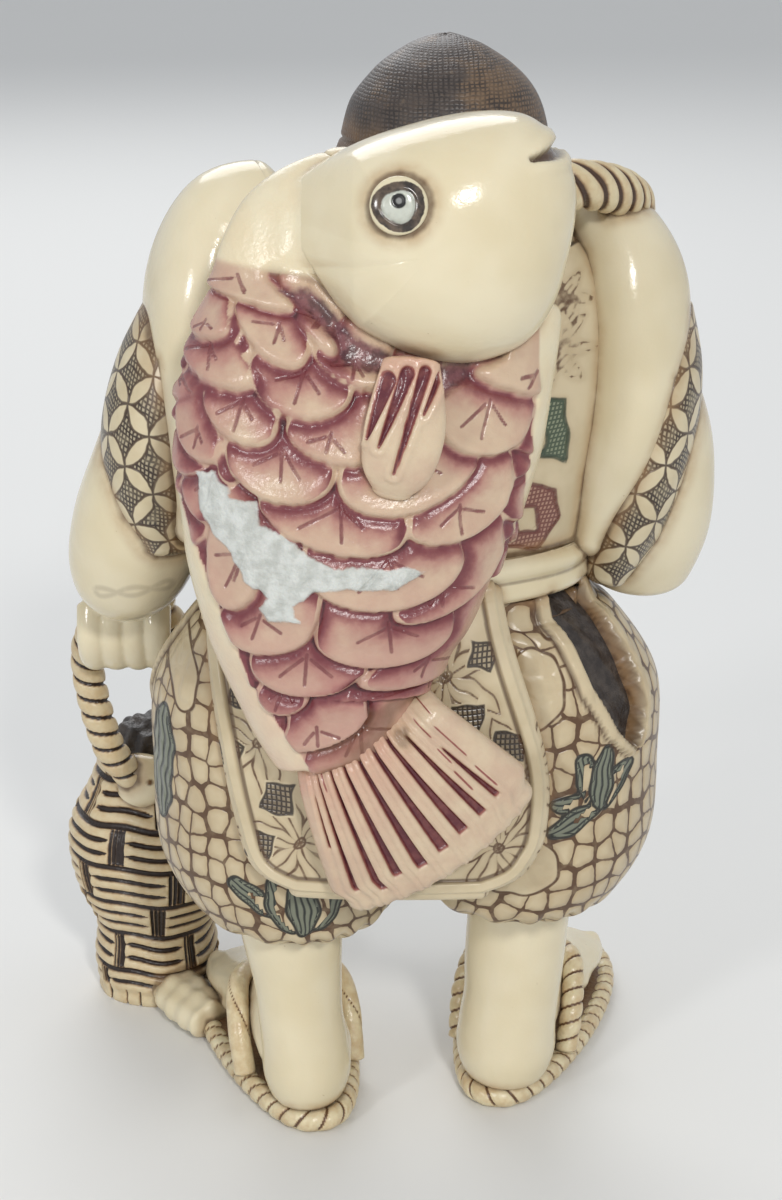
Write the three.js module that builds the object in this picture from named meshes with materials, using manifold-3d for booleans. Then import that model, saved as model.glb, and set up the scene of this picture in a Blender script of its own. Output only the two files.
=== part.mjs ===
// Marble dust figurine: a fisherman who carries a big carp on the back
// and a wicker basket in the left hand. Millimetres, +Z up, front towards -Y,
// +X is the figure's left. The origin is the middle of the base at ground level.

import * as THREE from "three";
import Module from "manifold-3d";

const wasm = await Module();
wasm.setup();

// Clearance
const GAP = 0.3; // between two pieces that touch

// Levels above the ground
const SOLE = 2.2; // thickness of a sandal's sole
const ANKLE_Z = 10; // narrowest place of the leg
const HEM_Z = 21; // lower edge of the left trouser leg
const HEM_LIFT = 2.2; // how much higher the right trouser leg ends
const WAIST_Z = 57; // middle of the belt
const SHOULDER_Z = 88; // top of the shoulders
const CAP_RISE = 14; // top of the cap above the shoulders

// Trunk
const WAIST_WIDTH = 32;
const CHEST_WIDTH = 37.2;
const TRUNK_DEPTH = 25;
const LEAN = 3; // how far the neck leans to the right of the hips
const BELT_THICK = 1.3;
const BELT_HEIGHT = 4.2;

// Legs and feet
const STANCE_LEFT = 8.2; // heel to the middle plane
const STANCE_RIGHT = 11.4;
const HEEL_Y = 3.7;
const STEP_BACK = 4.5; // how much further back the left heel stands
const CALF_WIDTH = 10.2;
const ANKLE_WIDTH = 8;
const STOUT_RIGHT = 1.15; // the right leg is thicker
const FOOT_LENGTH = 33;
const FOOT_WIDTH = 11.5;
const SPLAY = 15; // degrees that each foot turns out
const SOLE_MARGIN = 1.7; // the sole's rim round the foot
const SOLE_TAPER = 1.5; // half width gained from heel to ball
const STRAP = 1.25; // half width of the twisted strap

// Trousers and skirts of the coat
const THIGH_X = 10.2; // middle of a trouser leg from the middle plane
const THIGH_X_RIGHT = 12.9;
const THIGH_WIDTH = 24.2;
const THIGH_DEPTH = 26.6;
const SLIT_DEPTH = 2.2;
const SLIT_HEM = 1.3;
const TAIL_DROP = 27.3; // length of the coat below the belt
const TAIL_THICK = 1.6;
const TAIL_HEM = 1.3; // width of the raised hem
const TAIL_HEM_RISE = 0.45;

// Head
const HEAD_WIDTH = 19;
const HEAD_DEPTH = 20;
const CAP_WIDTH = 19.2;
const CAP_DEPTH = 20.4;
const HEAD_Y = -8; // the head is bent forward

// Arms
const SLEEVE_OUT = 22.8; // left elbow from the middle plane
const SLEEVE_OUT_RIGHT = 23.5;
const SLEEVE_WIDTH = 12.6;
const HAND_DROP = 42.3; // left hand below the shoulders
const HAND_X = 26;
const HAND_Y = -12;
const FIST_DROP = 24; // right fist below the shoulders
const FIST_X = -9.5;
const FIST_Y = -18.6;
const FINGER = 1.55; // half thickness of a finger

// Rope over the right shoulder
const ROPE = 2.1; // half width of the rope

// Carp
const FISH_BACK_Y = 17; // middle plane of the body
const FISH_WIDTH = 30;
const FISH_THICK = 18;
const FISH_HEAD_Y = 18.5; // middle plane of the head
const FISH_HEAD_RISE = 9;
const SCALE_PITCH = 7.3; // across the body
const SCALE_ROW = 5; // along the body
const SCALE_RISE = 0.75;
const TAIL_FAN = 19.4; // spread of the tail fin
const TAIL_RAYS = 8;
const FIN_LENGTH = 9.4;
const EYE = 2.35; // radius of the eye's ring

// Basket
const BASKET_X = 25.3;
const BASKET_Y = -22.3;
const BASKET_HEIGHT = 27.6;
const BASKET_BELLY = 8.8; // radius
const BASKET_FOOT = 6.6; // radius
const BASKET_NECK = 5.2; // radius
const WEAVE_PITCH = 3.9; // height of one woven course
const HANDLE = 1.65; // half width of the twisted handle

/** Rows between the given rows, along a smooth curve through all of them. */
function smooth(rows, count) {
  const out = [];
  const row = (n) => rows[Math.max(0, Math.min(rows.length - 1, n))];
  for (let i = 0; i < count; i += 1) {
    const at = (i / (count - 1)) * (rows.length - 1);
    const k = Math.min(Math.floor(at), rows.length - 2);
    const t = at - k;
    const [a, b, c, d] = [row(k - 1), row(k), row(k + 1), row(k + 2)];
    out.push(b.map((v, n) => {
      const first = c[n] - a[n];
      const second = 2 * a[n] - 5 * v + 4 * c[n] - d[n];
      const third = 3 * v - a[n] - 3 * c[n] + d[n];
      return v + 0.5 * t * (first + t * (second + t * third));
    }));
  }
  return out;
}

/** A solid from rings of points between two poles. */
function closed(rings, start, end) {
  const sides = rings[0].length;
  const points = [start, ...rings.flat(), end];
  const last = points.length - 1;
  const tris = [];
  for (let j = 0; j < sides; j += 1) {
    const next = (j + 1) % sides;
    tris.push([0, 1 + next, 1 + j]);
    tris.push([last, last - sides + j, last - sides + next]);
    for (let i = 0; i + 1 < rings.length; i += 1) {
      const a = 1 + i * sides + j;
      const b = 1 + i * sides + next;
      tris.push([a, b, b + sides], [a, b + sides, a + sides]);
    }
  }
  let volume = 0;
  for (const [a, b, c] of tris) {
    volume += points[a].dot(new THREE.Vector3().crossVectors(points[b], points[c]));
  }
  const faces = volume > 0 ? tris : tris.map(([a, b, c]) => [a, c, b]);
  return new wasm.Manifold(new wasm.Mesh({
    numProp: 3,
    vertProperties: new Float32Array(points.flatMap((p) => [p.x, p.y, p.z])),
    triVerts: new Uint32Array(faces.flat()),
  }));
}

const power = (v, n) => Math.sign(v) * Math.abs(v) ** n;

/**
 * A body of oval rings along a curve. A row holds the ring's middle x, y, z
 * and its two half widths, the first one square to `ref`. The rings of a `level` body lie flat.
 */
function loft(rows, options = {}) {
  const { sides = 14, rings = 8, grow = 0, ref = [0, 1, 0] } = options;
  const { square = 1, start = 0, end = 0, level = false } = options;
  const line = smooth(rows, rings);
  const middle = line.map(([x, y, z]) => new THREE.Vector3(x, y, z));
  const side = new THREE.Vector3(...ref);
  const frames = middle.map((p, i) => {
    const before = middle[Math.max(0, i - 1)];
    const after = middle[Math.min(rings - 1, i + 1)];
    const along = level ? new THREE.Vector3(0, 0, 1) : after.clone().sub(before).normalize();
    const u = new THREE.Vector3().crossVectors(side, along).normalize();
    return { along, u, v: new THREE.Vector3().crossVectors(along, u) };
  });
  const ring = (i, shift, share) => {
    const { along, u, v } = frames[i];
    const out = [];
    for (let j = 0; j < sides; j += 1) {
      const a = (j / sides) * 2 * Math.PI;
      const x = power(Math.cos(a), square) * (line[i][3] + grow) * share;
      const y = power(Math.sin(a), square) * (line[i][4] + grow) * share;
      const p = middle[i].clone().addScaledVector(along, shift);
      out.push(p.addScaledVector(u, x).addScaledVector(v, y));
    }
    return out;
  };
  const pole = (i, shift) => middle[i].clone().addScaledVector(frames[i].along, shift);
  const body = line.map((_, i) => ring(i, 0, 1));
  const low = start + grow;
  const high = end + grow;
  if (start > 0) body.unshift(ring(0, -0.7 * low, 0.72));
  else body[0] = ring(0, -grow, 1);
  if (end > 0) body.push(ring(rings - 1, 0.7 * high, 0.72));
  else body[rings - 1] = ring(rings - 1, grow, 1);
  return closed(body, pole(0, -low), pole(rings - 1, high));
}

/**
 * A lens over a closed outline of [x, z] points round the plane y = mid. `soft` says, for a
 * point of the rim, how gently the front comes down there; `shift` moves it in y.
 */
function pillow(outline, { mid, front, back, centre, soft, shift, grow = 0, steps = 36, levels = 4 }) {
  const edge = smooth([...outline, ...outline.slice(0, 3)], steps * 2)
    .map(([x, z]) => [x, z]);
  const wrap = outline.length / (outline.length + 2);
  const [cx, cz] = centre;
  const points = [];
  for (let i = 0; i < steps; i += 1) {
    const at = (1 / (outline.length + 2) + (i / steps) * wrap) * (edge.length - 1);
    const k = Math.floor(at);
    const t = at - k;
    const x = edge[k][0] * (1 - t) + edge[k + 1][0] * t - cx;
    const z = edge[k][1] * (1 - t) + edge[k + 1][1] * t - cz;
    const r = Math.hypot(x, z);
    points.push([x * (1 + grow / r), z * (1 + grow / r)]);
  }
  const rings = [];
  for (let i = -levels + 1; i < levels; i += 1) {
    const a = (i / levels) * (Math.PI / 2);
    const share = Math.cos(a);
    rings.push(points.map(([x, z]) => {
      const fall = i < 0 ? 0.8 : 0.8 + soft(cx + x, cz + z);
      const rise = power(Math.sin(a), fall) * ((i < 0 ? back : front) + grow);
      return new THREE.Vector3(cx + x * share, mid + rise + shift(cx + x * share), cz + z * share);
    }));
  }
  const at = (y) => new THREE.Vector3(cx, y, cz);
  return closed(rings, at(mid - back - grow), at(mid + front + grow));
}

/** A straight bar with a rectangular section: middle, half sizes, turn in degrees. */
function block(middle, half, turn = [0, 0, 0]) {
  const [a, b, c] = half;
  const corner = (x, y, z) => new THREE.Vector3(x * a, y * b, z * c);
  const ring = (z) => [[-1, -1], [1, -1], [1, 1], [-1, 1]].map(([x, y]) => corner(x, y, z));
  const box = closed([ring(-1), ring(1)], corner(0, 0, -1), corner(0, 0, 1));
  return box.rotate(turn).translate(middle);
}

/** The largest body that a cut leaves. */
function main(body) {
  return body.decompose().reduce((a, b) => (b.volume() > a.volume() ? b : a));
}

const cut = (body, ...tools) => main(tools.reduce((b, t) => b.subtract(t), body));

const group = new THREE.Group();

/** Adds one named piece with its colour and finish. */
function piece(name, body, color, roughness = 0.35) {
  const mesh = body.getMesh();
  const geometry = new THREE.BufferGeometry();
  const position = new THREE.BufferAttribute(new Float32Array(mesh.vertProperties), 3);
  geometry.setAttribute("position", position);
  geometry.setIndex(new THREE.BufferAttribute(new Uint32Array(mesh.triVerts), 1));
  const material = new THREE.MeshStandardMaterial({ color, roughness, metalness: 0 });
  const node = new THREE.Mesh(geometry, material);
  node.name = name;
  group.add(node);
}

const IVORY = 0xe2d8ba;
const PATTERN = 0xcbbc98;
const DARK = 0x3a3634;
const SCALE_COLOR = 0xd2bc9e;
const BASKET_COLOR = 0xcdbea5;

// Trunk of the coat
const trunk = (grow) => {
  const w = WAIST_WIDTH / 2;
  const c = CHEST_WIDTH / 2;
  const d = TRUNK_DEPTH / 2;
  const rise = (SHOULDER_Z - WAIST_Z) / 31;
  const z = (v) => WAIST_Z + v * rise;
  return loft([
    [-1, 0.5, WAIST_Z + 0.4, w, d - 0.5],
    [-1 - LEAN * 0.2, 0.5, z(6), w * 0.45 + c * 0.55, d],
    [-1 - LEAN * 0.4, 0.5, z(14), c, d + 0.1],
    [-1 - LEAN * 0.6, 0, z(22), c - 0.2, d - 0.5],
    [-1 - LEAN * 0.8, -1, z(28), c - 3, d - 1.5],
    [-1 - LEAN, -2, z(32), c - 8, d - 4],
    [-1 - LEAN, -3, z(34.5), c - 13, d - 7],
  ], { sides: 16, rings: 7, grow, end: 0.8 });
};

// Legs: calf, heel, foot and toes
const foot = (grow) => {
  const w = FOOT_WIDTH / 2;
  const l = FOOT_LENGTH;
  const z = SOLE + GAP;
  const instep = loft([
    [0, 2.2, z + 3, w * 0.66, 3],
    [0, -1, z + 3.6, w * 0.8, 3.6],
    [0, -l * 0.25, z + 4.2, w * 0.8, 4.2],
    [0, -l * 0.45, z + 2.7, w * 0.92, 3.3],
    [0.3, -l * 0.6, z + 1.8, w, 2.5],
    [0.3, -l * 0.7, z + 1.4, w * 0.95, 2],
  ], { sides: 9, rings: 6, grow, ref: [0, 0, 1], start: 2.6, end: 1.5 });
  const toes = [-0.72, -0.27, 0.08, 0.42, 0.74].map((x, i) => {
    const r = i === 0 ? 1.7 : 1.35;
    const tip = l * (0.86 - 0.035 * i * i * 0.6);
    return loft([
      [x * w * 0.9, -l * 0.6, z + 1.6, r * 0.9, r],
      [x * w, -tip + 1.5, z + r * 0.8, r, r],
    ], { sides: 6, rings: 2, grow, ref: [0, 0, 1] });
  });
  return toes.reduce((a, b) => a.add(b), instep);
};

const leg = (side, grow) => {
  const left = side > 0;
  const x = left ? STANCE_LEFT : -STANCE_RIGHT;
  const y = HEEL_Y - (left ? 0 : STEP_BACK);
  const knee = (left ? HEM_Z : HEM_Z + HEM_LIFT) + 4;
  const stout = left ? 1 : STOUT_RIGHT;
  const a = (ANKLE_WIDTH / 2) * stout;
  const c = CALF_WIDTH / 2;
  const out = left ? 1.4 : -1.3;
  const calf = loft([
    [x + out, y - 1, knee, c - 0.2, c],
    [x + out, y - 1, knee - 5, c - 0.1, c + 0.1],
    [x + out * 0.6, y - 0.8, ANKLE_Z + 4, a + 0.3, a + 0.7],
    [x + out * 0.4, y - 0.4, ANKLE_Z, a + 0.1, a + 0.7],
    [x + out * 0.1, y, ANKLE_Z * 0.7, a + 0.2, a + 1],
    [x, y + 0.2, SOLE + 2.4, a + 0.3, a + 1.3],
    [x, y + 0.1, SOLE + 0.2, a - 0.3, a + 0.8],
  ], { sides: 12, rings: 8, grow });
  const shape = left ? foot(grow) : foot(grow).mirror([1, 0, 0]);
  const turned = shape.rotate([0, 0, side * SPLAY]).translate([x, y - 0.5, 0]);
  const ground = block([x, y - 10, SOLE + GAP - 20], [30, 40, 20]);
  const whole = calf.add(turned);
  return grow > 0 ? whole : main(whole.subtract(ground));
};

// Sandals: a sole with a notched rim, and a twisted strap
const soleOutline = (a, margin) => {
  const half = FOOT_LENGTH / 2 + margin;
  const width = FOOT_WIDTH / 2 + margin;
  const x = power(Math.sin(a), 0.8) * (width - SOLE_TAPER * Math.cos(a));
  return [x, -FOOT_LENGTH * 0.36 + Math.cos(a) * half];
};
const sandal = (side, grow) => {
  const left = side > 0;
  const count = 36;
  const ring = (z, margin) => {
    const out = [];
    for (let i = 0; i < count; i += 1) {
      const notch = i % 3 === 0 ? 0.35 : 0;
      const [x, y] = soleOutline((i / count) * 2 * Math.PI, SOLE_MARGIN - notch + margin);
      out.push(new THREE.Vector3(x, y, z));
    }
    return out;
  };
  const rings = [
    ring(-grow, grow - 0.3),
    ring(SOLE * 0.5, grow),
    ring(SOLE + grow, grow - 0.4),
  ];
  const y = -FOOT_LENGTH * 0.36;
  const low = new THREE.Vector3(0, y, -grow);
  const high = new THREE.Vector3(0, y, SOLE + grow);
  const x = left ? STANCE_LEFT : -STANCE_RIGHT;
  const shift = HEEL_Y - (left ? 0 : STEP_BACK);
  return closed(rings, low, high).rotate([0, 0, side * SPLAY]).translate([x, shift - 0.5, 0]);
};
const strap = (side) => {
  const left = side > 0;
  const w = FOOT_WIDTH / 2;
  const l = FOOT_LENGTH;
  const half = (sign) => loft([
    [sign * (w - 0.2), -l * 0.11, SOLE, STRAP, STRAP * 0.8],
    [sign * (w - 0.1), -l * 0.17, SOLE + 4.5, STRAP, STRAP * 0.8],
    [sign * w * 0.84, -l * 0.28, SOLE + 7.2, STRAP, STRAP * 0.8],
    [sign * w * 0.3, -l * 0.42, SOLE + 6.3, STRAP, STRAP * 0.8],
    [-0.25 * w, -l * 0.62, SOLE + 3.4, STRAP, STRAP * 0.8],
    [-0.45 * w, -l * 0.76, SOLE, STRAP * 0.8, STRAP * 0.8],
  ], { sides: 6, rings: 8, ref: [0, 1, 0.1] });
  const both = half(1).add(half(-1));
  const shape = left ? both : both.mirror([1, 0, 0]);
  const x = left ? STANCE_LEFT : -STANCE_RIGHT;
  const shift = HEEL_Y - (left ? 0 : STEP_BACK);
  return shape.rotate([0, 0, side * SPLAY]).translate([x, shift - 0.5, 0]);
};

// Trouser legs: wide bags that narrow to the hem
const trouser = (side, grow) => {
  const left = side > 0;
  const sx = left ? STANCE_LEFT : -STANCE_RIGHT;
  const tx = left ? THIGH_X : -THIGH_X_RIGHT;
  const z0 = left ? HEM_Z : HEM_Z + HEM_LIFT;
  const w = THIGH_WIDTH / 2;
  const d = THIGH_DEPTH / 2;
  const hip = WAIST_WIDTH / 2;
  const mx = left ? hip * 0.5 - 1 : -hip * 0.5 - 1;
  const h = WAIST_Z - z0;
  return loft([
    [sx * 0.7 + tx * 0.3, 3.2, z0, w - 5.6, d - 6.4],
    [sx * 0.5 + tx * 0.5, 2.6, z0 + h * 0.05, w - 2.6, d - 3.4],
    [tx, 1.6, z0 + h * 0.2, w - 0.4, d - 1],
    [tx, 0.6, z0 + h * 0.42, w + 0.1, d],
    [tx, 0.3, z0 + h * 0.64, w - 0.2, d - 0.4],
    [tx * 0.6 + mx * 0.4, 0.2, z0 + h * 0.81, w - 2.3, TRUNK_DEPTH / 2 - 0.6],
    [mx, 0.4, WAIST_Z - 4.4, hip * 0.56 + 0.8, TRUNK_DEPTH / 2 - 1.8],
    [mx, 0.5, WAIST_Z - 2.4, hip * 0.56, TRUNK_DEPTH / 2 - 2.4],
  ], { sides: 14, rings: 8, grow, level: true });
};

// Side slits of the trousers, as a leaf-shaped prism pushed in from outside
const slit = (side, grow) => {
  const left = side > 0;
  const x = left ? THIGH_X + 12 : -THIGH_X_RIGHT - 7;
  const y = left ? -3 : 9.5;
  const lean = left ? -4 : 15;
  const body = loft([
    [0, 0, -7.5, 0.6, 12],
    [0, 0, -5.5, 2, 12],
    [0, 0, -1, 2.9, 12],
    [0, 0, 5, 2.7, 12],
    [0, 0, 9.5, 1.6, 12],
  ], { sides: 8, rings: 6, grow, square: 0.4 });
  const facing = left ? 100 : -42;
  return body.rotate([0, lean, 0]).rotate([0, 0, -facing]).translate([x, y, WAIST_Z - 8.5]);
};

// Skirts of the coat below the belt
const skirt = (grow) => {
  const w = WAIST_WIDTH / 2;
  const d = TRUNK_DEPTH / 2;
  return loft([
    [-1, 0.5, WAIST_Z - TAIL_DROP - 4, w + 7, d + 4.7],
    [-1, 0.5, WAIST_Z - TAIL_DROP + 6, w + 6.6, d + 4.5],
    [-1, 0.5, WAIST_Z - 9, w + 4.4, d + 3.3],
    [-1, 0.5, WAIST_Z - 1.2, w + 1.2, d + 1.1],
  ], { sides: 16, rings: 4, grow, square: 0.76 });
};

/** A window through which the skirts are cut: sloping sides, round lower corners. */
const flap = (sign, grow, shrink = 0) => {
  const z = WAIST_Z - TAIL_DROP + shrink - grow;
  const w = WAIST_WIDTH / 2;
  const rows = [
    [0.2, z, w * 0.52], [0.1, z + 0.9, w * 0.67], [0.1, z + 2.4, w * 0.76], [0, z + 5.4, w * 0.83],
    [0.8, z + 12, w * 0.875], [3.4, WAIST_Z - 4, w * 0.825], [4, WAIST_Z + 3, w * 0.79],
  ];
  const rings = smooth(rows, 13).map(([x, level, wide]) => {
    const half = wide + grow - shrink;
    return [[x - half, 0.5], [x + half, 0.5], [x + half, sign * 26], [x - half, sign * 26]]
      .map(([a, b]) => new THREE.Vector3(a, b, level));
  });
  const end = (ring) => ring[0].clone().add(ring[2]).multiplyScalar(0.5);
  return closed(rings, end(rings[0]), end(rings[12]));
};

// Head and cap
const headX = -1 - LEAN - 0.5;
const skull = (grow) => {
  const w = HEAD_WIDTH / 2;
  const d = HEAD_DEPTH / 2;
  const y = HEAD_Y;
  const z = SHOULDER_Z;
  return loft([
    [headX, y - 1.2, z - 10, w * 0.45, d * 0.5],
    [headX, y - 1.2, z - 8, w * 0.78, d * 0.86],
    [headX, y - 0.8, z - 4.5, w * 0.96, d * 0.98],
    [headX, y, z, w, d],
    [headX, y, z + 5, w * 0.98, d],
    [headX, y, z + 8.4, w * 0.76, d * 0.78],
  ], { sides: 14, rings: 6, grow, start: 0.8, end: 2 });
};
const head = (grow) => {
  const w = HEAD_WIDTH / 2;
  const d = HEAD_DEPTH / 2;
  const y = HEAD_Y;
  const z = SHOULDER_Z;
  const nose = loft([
    [headX, y - d + 0.6, z + 0.8, 0.9, 1.1],
    [headX, y - d - 0.1, z - 0.8, 1.1, 1.5],
    [headX, y - d - 0.9, z - 2.2, 1.9, 1.6],
    [headX, y - d + 0.4, z - 3.1, 1.4, 1],
  ], { sides: 6, rings: 4, grow });
  const ear = (s) => loft([
    [headX + s * (w - 0.2), y + 1, z - 4.4, 0.9, 1.3],
    [headX + s * (w + 0.2), y + 1.4, z - 2.6, 1.2, 2],
    [headX + s * (w + 0.3), y + 1.6, z - 0.6, 1.2, 2.1],
    [headX + s * (w + 0.1), y + 1.4, z + 0.9, 0.8, 1.4],
  ], { sides: 6, rings: 4, grow, start: 0.5, end: 0.5 });
  const cheek = (s) => loft([
    [headX + s * 4.6, y - d * 0.72, z - 4.6, 2.4, 2.2],
    [headX + s * 4.6, y - d * 0.76, z - 2.2, 2.6, 2.2],
  ], { sides: 6, rings: 2, grow, start: 1.2, end: 1.2 });
  const brow = (s) => loft([
    [headX + s * 1.4, y - d + 0.5, z + 0.6, 0.8, 0.8],
    [headX + s * 4, y - d + 0.9, z + 1, 0.8, 0.8],
    [headX + s * 6.6, y - d + 2.8, z + 0.4, 0.7, 0.7],
  ], { sides: 4, rings: 3, grow });
  const lip = loft([
    [headX - 2.2, y - d + 0.4, z - 5.8, 0.6, 0.8],
    [headX, y - d - 0.1, z - 5.5, 0.8, 1],
    [headX + 2.2, y - d + 0.4, z - 5.8, 0.6, 0.8],
  ], { sides: 5, rings: 3, grow });
  return [nose, ear(1), ear(-1), cheek(1), cheek(-1), brow(1), brow(-1), lip]
    .reduce((a, b) => a.add(b), skull(grow));
};
const cap = (grow) => {
  const w = CAP_WIDTH / 2;
  const d = CAP_DEPTH / 2;
  const z = SHOULDER_Z;
  const y = HEAD_Y + 0.4;
  return loft([
    [headX - 0.3, y, z + 2.2, w, d],
    [headX - 0.4, y, z + CAP_RISE * 0.36, w * 0.98, d * 0.98],
    [headX - 0.5, y, z + CAP_RISE * 0.6, w * 0.88, d * 0.88],
    [headX - 0.5, y, z + CAP_RISE * 0.79, w * 0.66, d * 0.66],
    [headX - 0.5, y, z + CAP_RISE * 0.92, w * 0.38, d * 0.38],
  ], { sides: 14, rings: 5, grow, end: CAP_RISE * 0.08 });
};

// Collar bands that cross on the chest
const collar = (s, grow) => loft([
  [headX + s * 5.5, -1, SHOULDER_Z + 2, 1.6, 1.1],
  [headX + s * 8, -7, SHOULDER_Z - 2.5, 1.8, 1.1],
  [headX + s * 6, -11.6, SHOULDER_Z - 9, 1.8, 1.1],
  [-1 - s * 1, -13.2, SHOULDER_Z - 19, 1.8, 1.1],
  [-1 - s * 5, -12.6, WAIST_Z + 3.2, 1.8, 1.1],
], { sides: 6, rings: 8, grow, ref: [0, 1, 0.2] });

// Sleeves: a smooth drape, a patterned turned-up cuff and the lower arm
const drapeLeft = (grow) => loft([
  [10.5, -1, SHOULDER_Z, 4, 4.6],
  [14.4, 0, SHOULDER_Z - 1.8, 5, 6],
  [16.2, 0.6, SHOULDER_Z - 7, 5.6, 7.4],
  [16.8, 1.2, SHOULDER_Z - 15, 5.4, 7.8],
  [17.6, 1.9, SHOULDER_Z - 22, 4.4, 7],
  [18.2, 2.5, SHOULDER_Z - 28, 2.6, 4.6],
], { sides: 10, rings: 7, grow, start: 1.6, end: 2.4 });
const cuffLeft = (grow) => loft([
  [17.6, 0, SHOULDER_Z - 9.5, 4.5, 6],
  [19, 0.5, SHOULDER_Z - 15, 5.8, 7.2],
  [20.2, 1, SHOULDER_Z - 21, 6, 7.4],
  [20.6, 1.6, SHOULDER_Z - 26.5, 4.7, 6],
  [20, 2.4, SHOULDER_Z - 30.5, 2.6, 3.6],
], { sides: 10, rings: 6, grow, start: 1, end: 1 });
const armLeft = (grow) => loft([
  [19.6, -1, SHOULDER_Z - 19, 5.8, 6.6],
  [21.4, -1, SHOULDER_Z - 25, SLEEVE_WIDTH / 2, 7],
  [SLEEVE_OUT + 0.3, -2, SHOULDER_Z - 29.5, SLEEVE_WIDTH / 2, 6.8],
  [SLEEVE_OUT + 1.8, -4, SHOULDER_Z - 34, SLEEVE_WIDTH / 2 - 0.5, 6],
  [SLEEVE_OUT + 2.8, -5.8, SHOULDER_Z - 36.6, SLEEVE_WIDTH / 2 - 1.6, 4.8],
], { sides: 12, rings: 6, grow, start: 1, end: 0.8 });
const drapeRight = (grow) => loft([
  [-17.6, -1, SHOULDER_Z - 1.2, 3, 4.4],
  [-20, 0, SHOULDER_Z - 3.4, 4.4, 6],
  [-21.2, 0.5, SHOULDER_Z - 8, 5, 7.4],
  [-20.8, 1.2, SHOULDER_Z - 15, 4.9, 7.8],
  [-19.3, 2, SHOULDER_Z - 22.5, 4.2, 7],
  [-17.4, 3, SHOULDER_Z - 29.5, 2.1, 4],
], { sides: 10, rings: 7, grow, start: 1.4, end: 2 });
const cuffRight = (grow) => loft([
  [-22.8, -1, SHOULDER_Z - 9.5, 4.2, 6],
  [-23.4, -0.5, SHOULDER_Z - 15, 4.6, 7.2],
  [-22.6, 0, SHOULDER_Z - 21, 4.8, 7.4],
  [-21, 0.8, SHOULDER_Z - 28, 4.1, 6.4],
  [-19.4, 1.6, SHOULDER_Z - 33.5, 2.2, 3.6],
], { sides: 10, rings: 6, grow, start: 1, end: 1 });
const armRight = (grow) => {
  const w = SLEEVE_WIDTH / 2;
  const x = SLEEVE_OUT_RIGHT;
  const upper = loft([
    [1.4 - x, -1.5, SHOULDER_Z - 15, w - 1.3, w - 0.2],
    [-x, -2.4, SHOULDER_Z - 22, w - 0.3, w + 0.6],
    [-x, -3.4, SHOULDER_Z - 29, w, w + 0.4],
    [0.6 - x, -4.6, SHOULDER_Z - 34, w - 0.8, w - 0.6],
  ], { sides: 12, rings: 5, grow, start: 1, end: 2.4 });
  const lower = loft([
    [0.4 - x, -4, SHOULDER_Z - 31, w - 1.2, w - 1],
    [2.4 - x, -9.6, SHOULDER_Z - 31, w - 1.4, w - 1.4],
    [FIST_X - 9.4, FIST_Y + 4.4, SHOULDER_Z - FIST_DROP - 6, 4.6, 4.6],
    [FIST_X - 5.4, FIST_Y + 1.8, SHOULDER_Z - FIST_DROP - 3.2, 3.9, 3.9],
  ], { sides: 10, rings: 5, grow, ref: [0, 0, 1], start: 1, end: 0.8 });
  return upper.add(lower);
};

// Hands
const handleTop = [HAND_X + 0.4, HAND_Y - 0.6, SHOULDER_Z - HAND_DROP + 0.2];
const handLeft = () => {
  const z = SHOULDER_Z - HAND_DROP;
  const palm = loft([
    [SLEEVE_OUT + 3, HAND_Y + 4.4, z + 5.6, 3.2, 3],
    [HAND_X, HAND_Y + 2, z + 3, 3.9, 2.8],
    [HAND_X, HAND_Y + 0.2, z + 1.2, 4.2, 2.7],
  ], { sides: 8, rings: 3, start: 1, end: 1.2 });
  const fingers = [-3.1, -1.05, 1.05, 3.1].map((x) => loft([
    [HAND_X + x, HAND_Y + 2.2, z + 1.6, FINGER * 0.8, FINGER],
    [HAND_X + x, HAND_Y + 3, z - 1.6, FINGER * 0.8, FINGER],
    [HAND_X + x, HAND_Y + 0.8, z - 4.3, FINGER * 0.8, FINGER],
    [HAND_X + x, HAND_Y - 2, z - 3.6, FINGER * 0.8, FINGER],
  ], { sides: 4, rings: 4, ref: [1, 0, 0] }));
  const thumb = loft([
    [HAND_X - 3.4, HAND_Y + 0.4, z + 2, 1.4, 1.5],
    [HAND_X - 3, HAND_Y - 3, z - 0.2, 1.3, 1.4],
    [HAND_X - 1.4, HAND_Y - 3.8, z - 2.6, 1.2, 1.3],
  ], { sides: 6, rings: 3, ref: [1, 0, 0], end: 0.8 });
  return [...fingers, thumb].reduce((a, b) => a.add(b), palm);
};
const fistRight = () => {
  const z = SHOULDER_Z - FIST_DROP;
  const palm = loft([
    [FIST_X - 4.6, FIST_Y + 1.4, z - 2.6, 3.2, 3.2],
    [FIST_X - 1.6, FIST_Y + 0.2, z - 0.8, 3.9, 3.4],
    [FIST_X + 0.8, FIST_Y + 0.2, z, 3.6, 3],
  ], { sides: 8, rings: 3, ref: [0, 0, 1], start: 0.8, end: 1 });
  const fingers = [-3, -1, 1, 3].map((h) => loft([
    [FIST_X - 1, FIST_Y - 2.4, z + h, FINGER * 0.8, FINGER],
    [FIST_X + 1.8, FIST_Y - 2.6, z + h, FINGER * 0.8, FINGER],
    [FIST_X + 3.6, FIST_Y - 0.4, z + h, FINGER * 0.8, FINGER],
    [FIST_X + 2.2, FIST_Y + 1.8, z + h, FINGER * 0.8, FINGER],
  ], { sides: 4, rings: 4, ref: [0, 0, 1] }));
  return fingers.reduce((a, b) => a.add(b), palm);
};

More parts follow.
